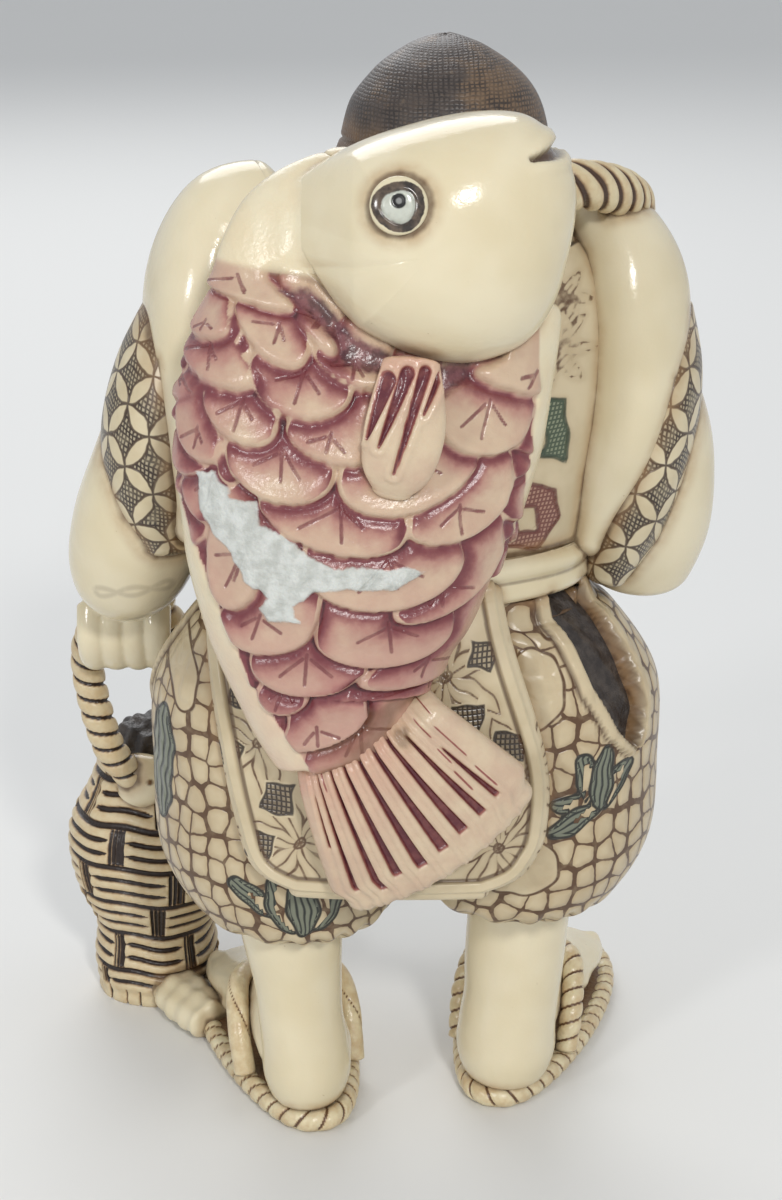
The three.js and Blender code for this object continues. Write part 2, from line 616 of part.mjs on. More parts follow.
// Rope over the right shoulder, from the fish's mouth to the fist
const carryingRope = (grow) => loft([
  [-12.4, 11.4, SHOULDER_Z + 3.4, ROPE, ROPE],
  [-16.4, 8, SHOULDER_Z + 3, ROPE, ROPE],
  [-20, 2.6, SHOULDER_Z + 1.4, ROPE, ROPE],
  [-21.4, -3.6, SHOULDER_Z - 1.4, ROPE, ROPE],
  [-19.4, -10, SHOULDER_Z - 7.4, ROPE, ROPE],
  [-14.6, -15, SHOULDER_Z - 15, ROPE, ROPE],
  [FIST_X + 0.6, FIST_Y + 0.2, SHOULDER_Z - FIST_DROP, ROPE * 0.95, ROPE * 0.95],
  [FIST_X + 2.6, FIST_Y + 0.4, SHOULDER_Z - FIST_DROP - 6.4, ROPE * 0.9, ROPE * 0.9],
], { sides: 7, rings: 13, grow, ref: [1, 0, 0.2], start: 0.6, end: 0.6 });

// Carp: body with overlapping scales, head, side fin, tail fin and eye
const fishAxis = (y) => {
  const w = FISH_WIDTH / 2;
  const t = FISH_THICK / 2;
  const top = SHOULDER_Z;
  return [
    [-1, y - 2.4, top + 1.4, w - 5.4, t - 6],
    [-0.4, y - 1.6, top - 2, w - 1.6, t - 5],
    [0.8, y - 0.6, top - 8, w - 0.6, t - 3],
    [2.4, y, top - 14.5, w, t - 0.8],
    [3.5, y, top - 21.5, w - 0.8, t],
    [4.5, y, top - 28.5, w - 2.4, t - 0.7],
    [5.1, y + 0.3, top - 34.5, w - 4.8, t - 2],
    [5, y + 1, top - 39.5, w - 7.4, t - 3.8],
    [4, y + 1.8, top - 44, w - 9.2, t - 5.6],
  ];
};
const fishBody = (grow) => loft(fishAxis(FISH_BACK_Y), {
  sides: 18, rings: 10, grow, start: 2, end: 0.6,
});

/** One scale: a flat lens whose tail-side edge stands proud of the skin. */
const scale = (at, along, out) => {
  const across = new THREE.Vector3().crossVectors(along, out).normalize();
  const a = SCALE_ROW * 0.82;
  const b = SCALE_PITCH * 0.53;
  const tilt = Math.atan2(SCALE_RISE, a);
  const t = along.clone().multiplyScalar(Math.cos(tilt)).addScaledVector(out, Math.sin(tilt));
  const n = new THREE.Vector3().crossVectors(across, t);
  const ring = (share, rise) => {
    const points = [];
    for (let i = 0; i < 7; i += 1) {
      const q = (i / 7) * 2 * Math.PI;
      const p = at.clone().addScaledVector(t, Math.cos(q) * a * share);
      points.push(p.addScaledVector(across, Math.sin(q) * b * share).addScaledVector(n, rise));
    }
    return points;
  };
  const low = at.clone().addScaledVector(n, -1.8);
  const high = at.clone().addScaledVector(n, 0.62);
  return closed([ring(1, -0.5)], low, high);
};

/** All scales: rows along the body, each row shifted by half a scale. */
const scales = () => {
  const line = smooth(fishAxis(FISH_BACK_Y), 60);
  const middle = line.map(([x, y, z]) => new THREE.Vector3(x, y, z));
  const lengths = [0];
  for (let i = 1; i < 60; i += 1) {
    lengths.push(lengths[i - 1] + middle[i].distanceTo(middle[i - 1]));
  }
  const out = [];
  const rows = Math.floor((lengths[59] - 3) / SCALE_ROW);
  for (let r = 0; r <= rows; r += 1) {
    const s = 2 + r * SCALE_ROW;
    const i = Math.max(1, lengths.findIndex((v) => v >= s));
    const along = middle[Math.min(59, i + 1)].clone().sub(middle[i - 1]).normalize();
    const side = new THREE.Vector3().crossVectors(new THREE.Vector3(0, 1, 0), along);
    side.normalize();
    const [w, t] = [line[i][3], line[i][4]];
    const shift = r % 2 === 0 ? 0 : 0.5;
    for (let c = -4; c <= 4; c += 1) {
      const across = (c + shift) * SCALE_PITCH;
      const angle = across / (0.5 * (w + t));
      const low = middle[i].z < SHOULDER_Z - 4 - Math.max(0, -across) * 0.3;
      if (low && Math.abs(angle) < 1.3) {
        const x = Math.sin(angle) * w;
        const y = Math.cos(angle) * t;
        const normal = side.clone().multiplyScalar(x / (w * w));
        normal.add(new THREE.Vector3(0, y / (t * t), 0)).normalize();
        const at = middle[i].clone().addScaledVector(side, x);
        at.add(new THREE.Vector3(0, y, 0));
        out.push(scale(at, along, normal));
      }
    }
  }
  return out.reduce((a, b) => a.add(b));
};

// The head's outline runs on over the nape, where the front lies lower and comes down gently
const fishHead = (grow) => {
  const z = SHOULDER_Z;
  const outline = [
    [-12.8, z + 8.7], [-10.4, z + 10.2], [-6.6, z + 10.3], [-2, z + 9.4], [3, z + 7.7],
    [7.2, z + 5], [10.6, z + 2], [13, z - 1.2], [11, z - 2.7], [7.2, z - 2.8],
    [4.6, z - 4.8], [1.6, z - 7.3], [-2.4, z - 9.1], [-6.6, z - 9.5], [-10.8, z - 7.9],
    [-13.2, z - 4.6], [-14.4, z], [-14.8, z + 4], [-14.1, z + 6.8],
  ];
  const nape = (x) => Math.max(0, Math.min(1, (x - 3) / 7));
  return pillow(outline, {
    mid: FISH_HEAD_Y, front: FISH_HEAD_RISE, back: FISH_THICK / 2, centre: [-3, z + 0.6],
    soft: (x) => 0.9 * nape(x), shift: (x) => -2 * nape(x), grow, steps: 30, levels: 4,
  });
};
const mouth = () => block([-14.2, FISH_HEAD_Y + 1, SHOULDER_Z + 7.4], [3.2, 7, 0.45], [0, 14, 0]);

const finStart = [-1.6, SHOULDER_Z - 9];
const sideFin = (grow) => {
  const y = FISH_BACK_Y + FISH_THICK / 2 + 0.4;
  const [x, z] = finStart;
  return loft([
    [x, y - 2, z + 0.5, 2.2, 1.2],
    [x + 0.4, y - 0.4, z - FIN_LENGTH * 0.4, 3, 1.1],
    [x + 1.1, y - 0.2, z - FIN_LENGTH * 0.8, 2.7, 1],
    [x + 1.5, y - 0.8, z - FIN_LENGTH, 1.7, 0.9],
  ], { sides: 10, rings: 5, grow, end: 0.7, start: 0.5, square: 0.7 });
};
const finGroove = (k) => block(
  [finStart[0] + 0.9 + k * 1.5, FISH_BACK_Y + FISH_THICK / 2 + 1.4, finStart[1] - FIN_LENGTH * 0.5],
  [0.28, 0.7, FIN_LENGTH * 0.5],
  [0, 4 - k * 4, 0],
);

const tailRoot = [2.6, SHOULDER_Z - 41.7];
const tailTurn = THREE.MathUtils.degToRad(31);
const TAIL_LENGTH = 14;
const tailFin = (grow) => {
  const y = FISH_BACK_Y + 2.6;
  const [x, z] = tailRoot;
  const w = TAIL_FAN / 2;
  const dx = -Math.sin(tailTurn) * TAIL_LENGTH;
  const dz = -Math.cos(tailTurn) * TAIL_LENGTH;
  return loft([
    [x - dx * 0.1, y - 0.2, z - dz * 0.1, w * 0.55, 3],
    [x + dx * 0.25, y, z + dz * 0.25, w * 0.7, 2.5],
    [x + dx * 0.65, y + 0.2, z + dz * 0.65, w * 0.88, 2],
    [x + dx, y, z + dz, w, 1.6],
  ], { sides: 14, rings: 4, grow, start: 0.5, end: 0.9, square: 0.8 });
};
const tailGroove = (k) => {
  const share = (k - (TAIL_RAYS - 1) / 2) / (TAIL_RAYS - 1);
  const [x, z] = tailRoot;
  const turn = tailTurn - share * 0.85;
  const reach = TAIL_LENGTH * 0.72;
  const side = share * TAIL_FAN * 0.42;
  const middle = [
    x + side * Math.cos(tailTurn) - Math.sin(turn) * reach,
    FISH_BACK_Y + 5,
    z - side * Math.sin(tailTurn) - Math.cos(turn) * reach,
  ];
  return block(middle, [0.3, 1.3, TAIL_LENGTH * 0.5], [0, THREE.MathUtils.radToDeg(turn), 0]);
};

const eyeDisc = (grow) => loft([
  [-0.7, FISH_HEAD_Y + FISH_HEAD_RISE - 2.6, SHOULDER_Z + 4, EYE, EYE],
  [-0.7, FISH_HEAD_Y + FISH_HEAD_RISE - 0.5, SHOULDER_Z + 4.5, EYE, EYE],
], { sides: 16, rings: 2, grow, ref: [0, 0, 1], end: grow > 0 ? 0 : 0.5 });

// Basket with woven courses, its handle and the lug that carries it
const basketProfile = (share) => {
  const rows = [
    [BASKET_FOOT - 0.4], [BASKET_FOOT], [BASKET_FOOT - 0.3], [BASKET_BELLY - 0.9],
    [BASKET_BELLY], [BASKET_BELLY - 0.2], [BASKET_NECK + 1.3], [BASKET_NECK],
  ];
  const at = share * (rows.length - 1);
  const k = Math.min(Math.floor(at), rows.length - 2);
  return smooth(rows, 57)[Math.round((k + (at - k)) * 8)][0];
};
const basket = (grow) => {
  const courses = Math.floor(BASKET_HEIGHT / WEAVE_PITCH);
  const rings = [];
  const ring = (z, r) => {
    const out = [];
    for (let i = 0; i < 12; i += 1) {
      const a = (i / 12) * 2 * Math.PI;
      out.push(new THREE.Vector3(BASKET_X + r * Math.cos(a), BASKET_Y + r * Math.sin(a), z));
    }
    return out;
  };
  rings.push(ring(-grow, basketProfile(0) + grow - 0.3));
  for (let i = 0; i < courses; i += 1) {
    const z = i * (BASKET_HEIGHT / courses);
    const step = BASKET_HEIGHT / courses;
    const r = (v) => basketProfile(Math.min(1, (z + v) / BASKET_HEIGHT)) + grow;
    rings.push(ring(z + step * 0.25, r(step * 0.25)));
    rings.push(ring(z + step * 0.75, r(step * 0.75)));
    if (i + 1 < courses) rings.push(ring(z + step, r(step) - 0.45));
  }
  rings.push(ring(BASKET_HEIGHT + grow, BASKET_NECK - 0.5 + grow));
  rings.push(ring(BASKET_HEIGHT + grow, BASKET_NECK * 0.6));
  const low = new THREE.Vector3(BASKET_X, BASKET_Y, -grow);
  const high = new THREE.Vector3(BASKET_X, BASKET_Y, BASKET_HEIGHT + grow);
  return closed(rings, low, high);
};
const basketFill = () => loft([
  [BASKET_X - 0.4, BASKET_Y, BASKET_HEIGHT + GAP, BASKET_NECK - 0.8, BASKET_NECK - 0.8],
  [BASKET_X - 0.4, BASKET_Y, BASKET_HEIGHT + 1.6, BASKET_NECK - 1.4, BASKET_NECK - 1.4],
], { sides: 12, rings: 2, end: 1.4 });
const handle = (grow) => {
  const [x, y, z] = handleTop;
  const rim = BASKET_HEIGHT - 1;
  return loft([
    [BASKET_X + 1.2, BASKET_Y + BASKET_NECK + 1, rim, HANDLE, HANDLE],
    [x + 2.4, BASKET_Y + BASKET_NECK + 2, rim + 4, HANDLE, HANDLE],
    [x + 4, y - 2, z - 7.4, HANDLE, HANDLE],
    [x + 3.2, y - 0.6, z - 2.4, HANDLE, HANDLE],
    [x, y, z, HANDLE, HANDLE],
    [x - 4.2, y - 1.8, z - 1.6, HANDLE, HANDLE],
    [x - 5.8, y - 6, z - 7, HANDLE, HANDLE],
    [BASKET_X - 3, BASKET_Y - BASKET_NECK + 1, rim, HANDLE, HANDLE],
  ], { sides: 7, rings: 13, grow, ref: [0, 1, 0.2], start: 0.5, end: 0.5 });
};
const lug = (grow) => loft([
  [BASKET_X + 1, BASKET_Y + BASKET_NECK + 0.4, BASKET_HEIGHT - 3.4, 2, 1.6],
  [BASKET_X + 0.2, BASKET_Y + BASKET_NECK + 0.8, BASKET_HEIGHT - 1.4, 2.9, 1.9],
  [BASKET_X - 0.2, BASKET_Y + BASKET_NECK + 0.4, BASKET_HEIGHT + 0.6, 2, 1.4],
], { sides: 8, rings: 3, grow, start: 0.6, end: 0.6 });
const web = () => loft([
  [BASKET_X - 2.6, BASKET_Y + 5, 2.2, 3, 2.2],
  [21.2, -14, 2.2, 3, 2.2],
  [18.6, -10, 2.2, 2.6, 2.2],
], { sides: 8, rings: 3, ref: [0, 0, 1] });

// Belt and the knot of the sash in front
const belt = (grow) => loft([
  [-1, 0.5, WAIST_Z - BELT_HEIGHT / 2, WAIST_WIDTH / 2 + BELT_THICK - 0.3, TRUNK_DEPTH / 2 + 0.6],
  [-1, 0.5, WAIST_Z, WAIST_WIDTH / 2 + BELT_THICK + 0.5, TRUNK_DEPTH / 2 + 1.3],
  [-1, 0.5, WAIST_Z + BELT_HEIGHT / 2, WAIST_WIDTH / 2 + BELT_THICK - 0.1, TRUNK_DEPTH / 2 + 0.8],
], { sides: 16, rings: 3, grow });
const knot = () => {
  const y = -14.8;
  const middle = loft([
    [-3.4, y, WAIST_Z, 2.6, 2.2],
    [1.4, y, WAIST_Z, 2.6, 2.2],
  ], { sides: 8, rings: 2, ref: [0, 1, 0], start: 1, end: 1 });
  const end = (s) => loft([
    [-1 + s * 1, y - 0.2, WAIST_Z - 1, 1.8, 1],
    [-1 + s * 2.4, y - 0.8, WAIST_Z - 6, 2.2, 1],
    [-1 + s * 3.4, y - 1, WAIST_Z - 12, 2.4, 1],
  ], { sides: 6, rings: 3, end: 0.4 });
  return middle.add(end(1)).add(end(-1));
};

// Put the pieces together, the outer one cut by what it lies on
const legs = { left: leg(1, 0), right: leg(-1, 0) };
const legsWide = { left: leg(1, GAP), right: leg(-1, GAP) };
const trunkWide = trunk(GAP);
const trousersWide = trouser(1, GAP).add(trouser(-1, GAP));

const beltWide = belt(GAP);
// What a slit leaves standing: the trouser leg less the slit's depth, also under the belt
const slitFloor = (side, grow) => {
  const core = trouser(side, grow - SLIT_DEPTH);
  const below = block([0, 0, WAIST_Z - 6.6 - 30], [60, 60, 30]);
  return core.add(core.subtract(below).translate([0, 0, SLIT_DEPTH]));
};
const trousers = (side) => {
  const key = side > 0 ? "left" : "right";
  const whole = trouser(side, 0);
  const inner = slitFloor(side, 0);
  const over = side > 0 ? armLeft(GAP) : armRight(GAP).add(cuffRight(GAP)).add(drapeRight(GAP));
  const hem = slit(side, SLIT_HEM).intersect(trouser(side, 0.4))
    .subtract(over).subtract(plateWide(1)).subtract(plateWide(-1));
  const recess = slit(side, 0).subtract(inner);
  const tools = [recess, legsWide[key], trunkWide];
  if (side < 0) tools.push(trouser(1, GAP));
  return cut(whole.add(hem.subtract(beltWide)), ...tools);
};
const lining = (side) => {
  const shell = trouser(side, -SLIT_DEPTH + GAP + 0.9).subtract(slitFloor(side, GAP));
  return cut(slit(side, -GAP).intersect(shell), trunkWide, beltWide);
};

const beltPiece = cut(belt(0), trunkWide, trousersWide);
const plate = (sign) => {
  const hem = skirt(TAIL_HEM_RISE).subtract(flap(sign, 0, TAIL_HEM));
  const panel = skirt(0).add(hem).subtract(skirt(-TAIL_THICK)).intersect(flap(sign, 0));
  return cut(panel, trousersWide, beltWide);
};
const plateWide = (sign) => skirt(TAIL_HEM_RISE + GAP).subtract(skirt(-TAIL_THICK - GAP))
  .intersect(flap(sign, GAP));

const headWide = head(GAP);
const fishHeadWide = fishHead(GAP);
const drapes = { left: drapeLeft(0), right: drapeRight(0) };
const bodyWide = fishBody(GAP + SCALE_RISE);
const fishTools = [trunkWide, beltWide, plateWide(1), trousersWide];
const capTools = [headWide, fishHeadWide];
const tailWide = tailFin(GAP);

const fish = cut(
  fishBody(0).add(scales()),
  fishHeadWide, sideFin(GAP), tailWide, drapeLeft(GAP), drapeRight(GAP), ...fishTools,
);
const tailCuts = [];
for (let k = 0; k < TAIL_RAYS; k += 1) tailCuts.push(tailGroove(k));

piece("coat", cut(trunk(0), headWide), PATTERN);
piece("belt", beltPiece, IVORY);
piece("sash_knot", cut(knot(), beltWide, plateWide(-1), trousersWide, trunkWide), IVORY);
piece("coat_tail", plate(1), PATTERN);
piece("coat_front", plate(-1), PATTERN);
piece("trouser_left", trousers(1), PATTERN);
piece("trouser_right", trousers(-1), PATTERN);
piece("slit_lining_left", lining(1), DARK);
piece("slit_lining_right", lining(-1), DARK);
piece("leg_left", legs.left, IVORY, 0.25);
piece("leg_right", legs.right, IVORY, 0.25);
piece("sandal_left", sandal(1, 0), IVORY);
piece("sandal_right", sandal(-1, 0), IVORY);
piece("strap_left", cut(strap(1), legsWide.left, sandal(1, GAP)), IVORY);
piece("strap_right", cut(strap(-1), legsWide.right, sandal(-1, GAP)), IVORY);

const ropeWide = carryingRope(GAP);
const fist = cut(fistRight(), ropeWide, trunkWide);
piece("carrying_rope", cut(
  carryingRope(0), trunkWide, fishHeadWide, bodyWide, drapeRight(GAP), collar(-1, GAP), headWide,
), IVORY);
piece("head", cut(head(0), fishHeadWide), IVORY, 0.3);
piece("cap", cut(cap(0), ...capTools, trunkWide), DARK);
piece("collar_left", cut(collar(1, 0), trunkWide, skull(GAP)), IVORY);
piece("collar_right", cut(collar(-1, 0), trunkWide, skull(GAP), collar(1, GAP)), IVORY);
const cuffTools = [trunkWide, beltWide, trousersWide];
const drapeTools = [...cuffTools, skull(GAP), cap(GAP), fishHeadWide];
piece("sleeve_left", cut(drapes.left, ...drapeTools), IVORY, 0.25);
piece("sleeve_right", cut(drapes.right, ...drapeTools), IVORY, 0.25);
piece("cuff_left", cut(cuffLeft(0), drapeLeft(GAP), bodyWide, ...cuffTools), PATTERN);
piece("cuff_right", cut(cuffRight(0), drapeRight(GAP), bodyWide, ...cuffTools), PATTERN);
const armTools = [trunkWide, beltWide, trousersWide, plateWide(1), plateWide(-1), bodyWide];
piece("arm_left", cut(armLeft(0), drapeLeft(GAP), cuffLeft(GAP), ...armTools), IVORY, 0.25);
piece("arm_right", cut(armRight(0), drapeRight(GAP), cuffRight(GAP), ...armTools), IVORY, 0.25);
piece("hand_left", cut(handLeft(), armLeft(GAP), handle(GAP), trousersWide), IVORY);
piece("hand_right", cut(fist, armRight(GAP), collar(-1, GAP)), IVORY);

piece("carp_body", fish, SCALE_COLOR);
piece("carp_head", cut(fishHead(0), eyeDisc(GAP), mouth(), trunkWide, headWide), IVORY, 0.2);
piece("carp_eye", eyeDisc(0), 0x777a78);
piece("carp_side_fin", cut(sideFin(0), fishHeadWide, finGroove(-1), finGroove(0), finGroove(1)),
  SCALE_COLOR);
piece("carp_tail_fin", cut(tailFin(0), ...tailCuts, plateWide(1), trousersWide), SCALE_COLOR);

const basketWide = basket(GAP);
const lugPiece = cut(lug(0), basketWide, handle(GAP));
piece("basket", cut(basket(0), sandal(1, GAP), legsWide.left, trousersWide), BASKET_COLOR, 0.45);
piece("basket_filling", cut(basketFill(), handle(GAP), lug(GAP)), DARK, 0.5);
piece("basket_handle", cut(handle(0), basketWide, trousersWide), BASKET_COLOR, 0.45);
piece("basket_lug", lugPiece, IVORY);
piece("base_web", cut(web(), basketWide, sandal(1, GAP), legsWide.left), IVORY, 0.45);

// Stand the figure on the ground, in the middle of its outline
const box = new THREE.Box3().setFromObject(group);
const centre = box.getCenter(new THREE.Vector3());
group.position.set(-centre.x, -centre.y, -box.min.z);

export default group;
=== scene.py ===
"""Looks of a marble dust figurine: a fisherman with a carp on the back and a basket in the left hand."""
import math
import bpy
import numpy as np
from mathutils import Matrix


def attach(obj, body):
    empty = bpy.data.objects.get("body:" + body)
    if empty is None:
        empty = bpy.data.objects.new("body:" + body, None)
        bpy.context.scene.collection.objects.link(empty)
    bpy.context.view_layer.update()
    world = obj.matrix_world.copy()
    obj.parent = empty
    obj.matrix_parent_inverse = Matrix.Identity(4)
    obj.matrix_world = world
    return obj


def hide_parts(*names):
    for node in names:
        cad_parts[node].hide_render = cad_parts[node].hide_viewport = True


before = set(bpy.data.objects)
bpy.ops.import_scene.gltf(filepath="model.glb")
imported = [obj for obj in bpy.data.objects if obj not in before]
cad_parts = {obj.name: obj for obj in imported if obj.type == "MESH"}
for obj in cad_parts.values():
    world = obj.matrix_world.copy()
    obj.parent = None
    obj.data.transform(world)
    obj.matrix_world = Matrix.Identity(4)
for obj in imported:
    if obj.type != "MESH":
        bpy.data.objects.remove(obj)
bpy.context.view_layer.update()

MM = 0.001
ORIGIN = np.array([-2.143, 1.72, 0.0])  # place of the shapes' own origin in the frame, mm

# Levels and sizes in mm, as in the solids
SHOULDER_Z = 88.0
WAIST_Z = 57.0
HEM_Z = 21.0
HEM_LIFT = 2.2
ANKLE_Z = 10.0
SOLE = 2.2
FOOT_LENGTH = 33.0
FOOT_WIDTH = 11.5
FOOT_AHEAD = 0.5  # how far a foot stands in front of its calf
SPLAY = 15.0
STANCE = {"left": 8.2, "right": -11.4}
HEEL_Y = {"left": 3.7, "right": -0.8}
HEAD_X, HEAD_Y = -4.5, -8.0
FISH_Y = 17.0
FISH_HEAD_Y = 18.5
BASKET = (25.3, -22.3)
BASKET_HEIGHT = 27.6
PANEL_TOP = 56.4
PANEL_LOW = WAIST_Z - 27.3
FAR = 9.0  # stands for nowhere near


# ---------------------------------------------------------------- surfaces

def unit(v):
    return v / np.maximum(np.linalg.norm(v, axis=-1, keepdims=True), 1e-9)


def ease(x, low, high):
    """0 at low, 1 at high, and an S-shaped rise between the two."""
    t = np.clip((x - low) / (high - low), 0, 1)
    return t * t * (3 - 2 * t)


def power(v, n):
    return np.sign(v) * np.abs(v) ** n


def bell(v, wide):
    """A smooth bump: e^-(v / wide)^2."""
    return np.exp(-(v / wide) ** 2)


def spline(rows, count):
    """A smooth curve through all rows: each stretch is a cubic whose ends lean on the rows beside it."""
    rows = np.asarray(rows, float)
    at = np.linspace(0, len(rows) - 1, count)
    k = np.minimum(at.astype(int), len(rows) - 2)
    t = (at - k)[:, None]
    a, b = rows[np.maximum(k - 1, 0)], rows[k]
    c, d = rows[k + 1], rows[np.minimum(k + 2, len(rows) - 1)]
    return b + 0.5 * t * ((c - a) + t * ((2 * a - 5 * b + 4 * c - d) + t * (3 * b - a - 3 * c + d)))


class Skin:
    """A closed grid of points in mm: rows along a form, columns round it, a pole at each end.

    c and v are lengths on the surface, across from the middle column and along from row `zero`."""

    def __init__(self, points, angle, zero=0):
        self.p, self.a = points, angle
        step = np.linalg.norm(np.roll(points, -1, 1) - points, axis=2)
        run = np.concatenate([np.zeros((len(points), 1)), np.cumsum(step, 1)], 1)
        middle = points.shape[1] // 2
        self.across = run - run[:, middle:middle + 1]
        down = np.linalg.norm(np.diff(points[:, middle], axis=0), axis=1)
        along = np.concatenate([[0], np.cumsum(down)])
        self.along = along - along[zero]
        self.marks = {}

    @property
    def c(self):
        return self.across[:, :-1]

    @property
    def v(self):
        return np.repeat(self.along[:, None], self.p.shape[1], 1)

    def axis(self, k):
        return self.p[..., k]

    def normal(self):
        """Square to both grid directions, and pointing away from the ring's middle."""
        side = np.roll(self.p, -1, 1) - np.roll(self.p, 1, 1)
        n = np.cross(side, np.gradient(self.p, axis=0))
        n[0], n[-1] = n[1].mean(0), n[-2].mean(0)
        out = self.p - self.p.mean(1, keepdims=True)
        return unit(n) * np.sign((unit(n) * out)[2:-2].sum())

    def rise(self, height):
        """Moves each point out along the surface's normal by its height in mm."""
        height = np.array(np.broadcast_to(height, self.p.shape[:2]))
        height[0], height[-1] = height[0].mean(), height[-1].mean()
        self.p = self.p + self.normal() * height[..., None]
        self.p[0], self.p[-1] = self.p[0].mean(0), self.p[-1].mean(0)
        return self

    def mark(self, **values):
        for name, value in values.items():
            self.marks[name] = np.array(np.broadcast_to(value, self.p.shape[:2]), float)
        return self

    def stand(self, key):
        """Takes a part of a left foot to where the foot `key` stands: mirrored, turned out and moved."""
        side = 1 if key == "left" else -1
        c, s = math.cos(math.radians(SPLAY)), side * math.sin(math.radians(SPLAY))
        turn = np.array([[c, s, 0], [-s, c, 0], [0, 0, 1]])
        self.p = (self.p * (side, 1, 1)) @ turn + (STANCE[key], HEEL_Y[key] - FOOT_AHEAD, 0)


def loft(rows, around, along, ref=(0, 1, 0), square=1.0, start=0.0, end=0.0, cap=9, face=0.0, level=False,
         dense=0.0):
    """Oval rings carried along a smooth curve.

    A row is a ring's middle x, y, z and its two half widths, the first square to `ref`. The ring is
    (|cos a|^square, |sin a|^square). Each end is a quarter oval as long as start or end. `level` rings
    lie flat, and `dense` draws the columns together round the middle one: a = t - dense sin t."""
    line = spline(rows, along)
    middle, half = line[:, :3], line[:, 3:5]
    go = np.tile([0.0, 0.0, 1.0], (along, 1)) if level else unit(np.gradient(middle, axis=0))
    u = unit(np.cross(np.asarray(ref, float), go))
    v = np.cross(go, u)
    q = np.linspace(0, np.pi / 2, cap + 1)[1:]
    row = np.concatenate([np.zeros(cap, int), np.arange(along), np.full(cap, along - 1)])
    share = np.concatenate([np.cos(q)[::-1], np.ones(along), np.cos(q)])
    share[0] = share[-1] = 0
    shift = np.concatenate([-start * np.sin(q)[::-1], np.zeros(along), end * np.sin(q)])
    t = (np.arange(around) / around * 2 - 1) * np.pi
    a = t - dense * np.sin(t) + np.pi / 2 + face
    x = power(np.cos(a), square) * half[row, 0, None] * share[:, None]
    y = power(np.sin(a), square) * half[row, 1, None] * share[:, None]
    points = (middle[row] + go[row] * shift[:, None])[:, None]
    points = points + u[row][:, None] * x[..., None] + v[row][:, None] * y[..., None]
    return Skin(points, a, cap)


def wound(path, radius, around, step, ref, end):
    """A round cord along a smooth path of x, y, z and, if need be, a share of the radius. Also gives its length."""
    rows = [list(r[:3]) + [radius * (r[3] if len(r) > 3 else 1)] * 2 for r in path]
    length = np.linalg.norm(np.diff(spline(rows, 200)[:, :3], axis=0), axis=1).sum()
    return loft(rows, around, max(12, int(length / step)), ref, start=end, end=end, cap=6), length


def cord(path, radius, count, lean, around=64, step=0.16, ref=(0, 1, 0.2), end=0.5, wide=0.3):
    """A cord with `count` oblique furrows along it, each `wide` to either side."""
    skin, length = wound(path, radius, around, step, ref, end)
    pitch = length / count
    turn = skin.v / pitch + lean * skin.a[None] / (2 * np.pi)
    furrow = ease(np.abs(turn - np.round(turn)) * pitch, wide, 0.2 * wide)
    skin.rise(-0.15 * furrow * radius - 0.1 * radius * (1 - np.sin(np.pi * (turn % 1))))
    bulge = np.abs(np.cos(np.pi * turn))
    return skin.mark(cut=furrow * (0.75 + 0.25 * bulge) * min(1, 0.4 + 2 * wide))


def petals(dx, dy, reach, turn=0.0, count=8, wide=0.12):
    """Distance to the outlines and ribs of pointed petals round a flower's middle.

    A petal's half width is wide reach sin(pi r / reach)^0.8."""
    r = np.hypot(dx, dy) + 1e-6
    part = 2 * np.pi / count
    a = (np.arctan2(dy, dx) - turn) / part
    b = np.abs(a - np.round(a)) * part * r
    half = wide * reach * np.sin(np.pi * np.clip(r / reach, 0, 1)) ** 0.8
    line = np.abs(b - half)
    line = np.minimum(line, np.where(r < 0.62 * reach, b + 0.03, 9))
    line = np.where(r > reach, np.hypot(b, r - reach), line)
    return np.minimum(line, np.abs(r - 0.45))


def net(x, y, turn=23.0, pitch=9.0):
    """Flowers on the knots of a turned square net: distance to their lines and to the squares half-way."""
    c, s = math.cos(math.radians(turn)), math.sin(math.radians(turn))
    p, q = (x * c - y * s) / pitch, (x * s + y * c) / pitch
    line = petals((p - np.round(p)) * pitch, (q - np.round(q)) * pitch, pitch * 0.6)
    box = np.full(x.shape, FAR)
    for sx, sy in ((0.5, 0.0), (0.0, 0.5)):
        bx = (p - sx - np.round(p - sx)) * pitch
        by = (q - sy - np.round(q - sy)) * pitch
        box = np.minimum(box, np.maximum(np.abs(bx * c + by * s), np.abs(by * c - bx * s)) - 1.05)
    return line, box


def wobble(x, y, size=1.0):
    """A hand's unsteadiness: both coordinates bent by slow waves."""
    return (x + size * (0.16 * np.sin(1.1 * y + 0.7 * x) + 0.09 * np.sin(2.3 * y - 1.1 * x)),
            y + size * (0.16 * np.sin(1.3 * x - 0.5 * y + 1) + 0.09 * np.sin(2.7 * x + y)))


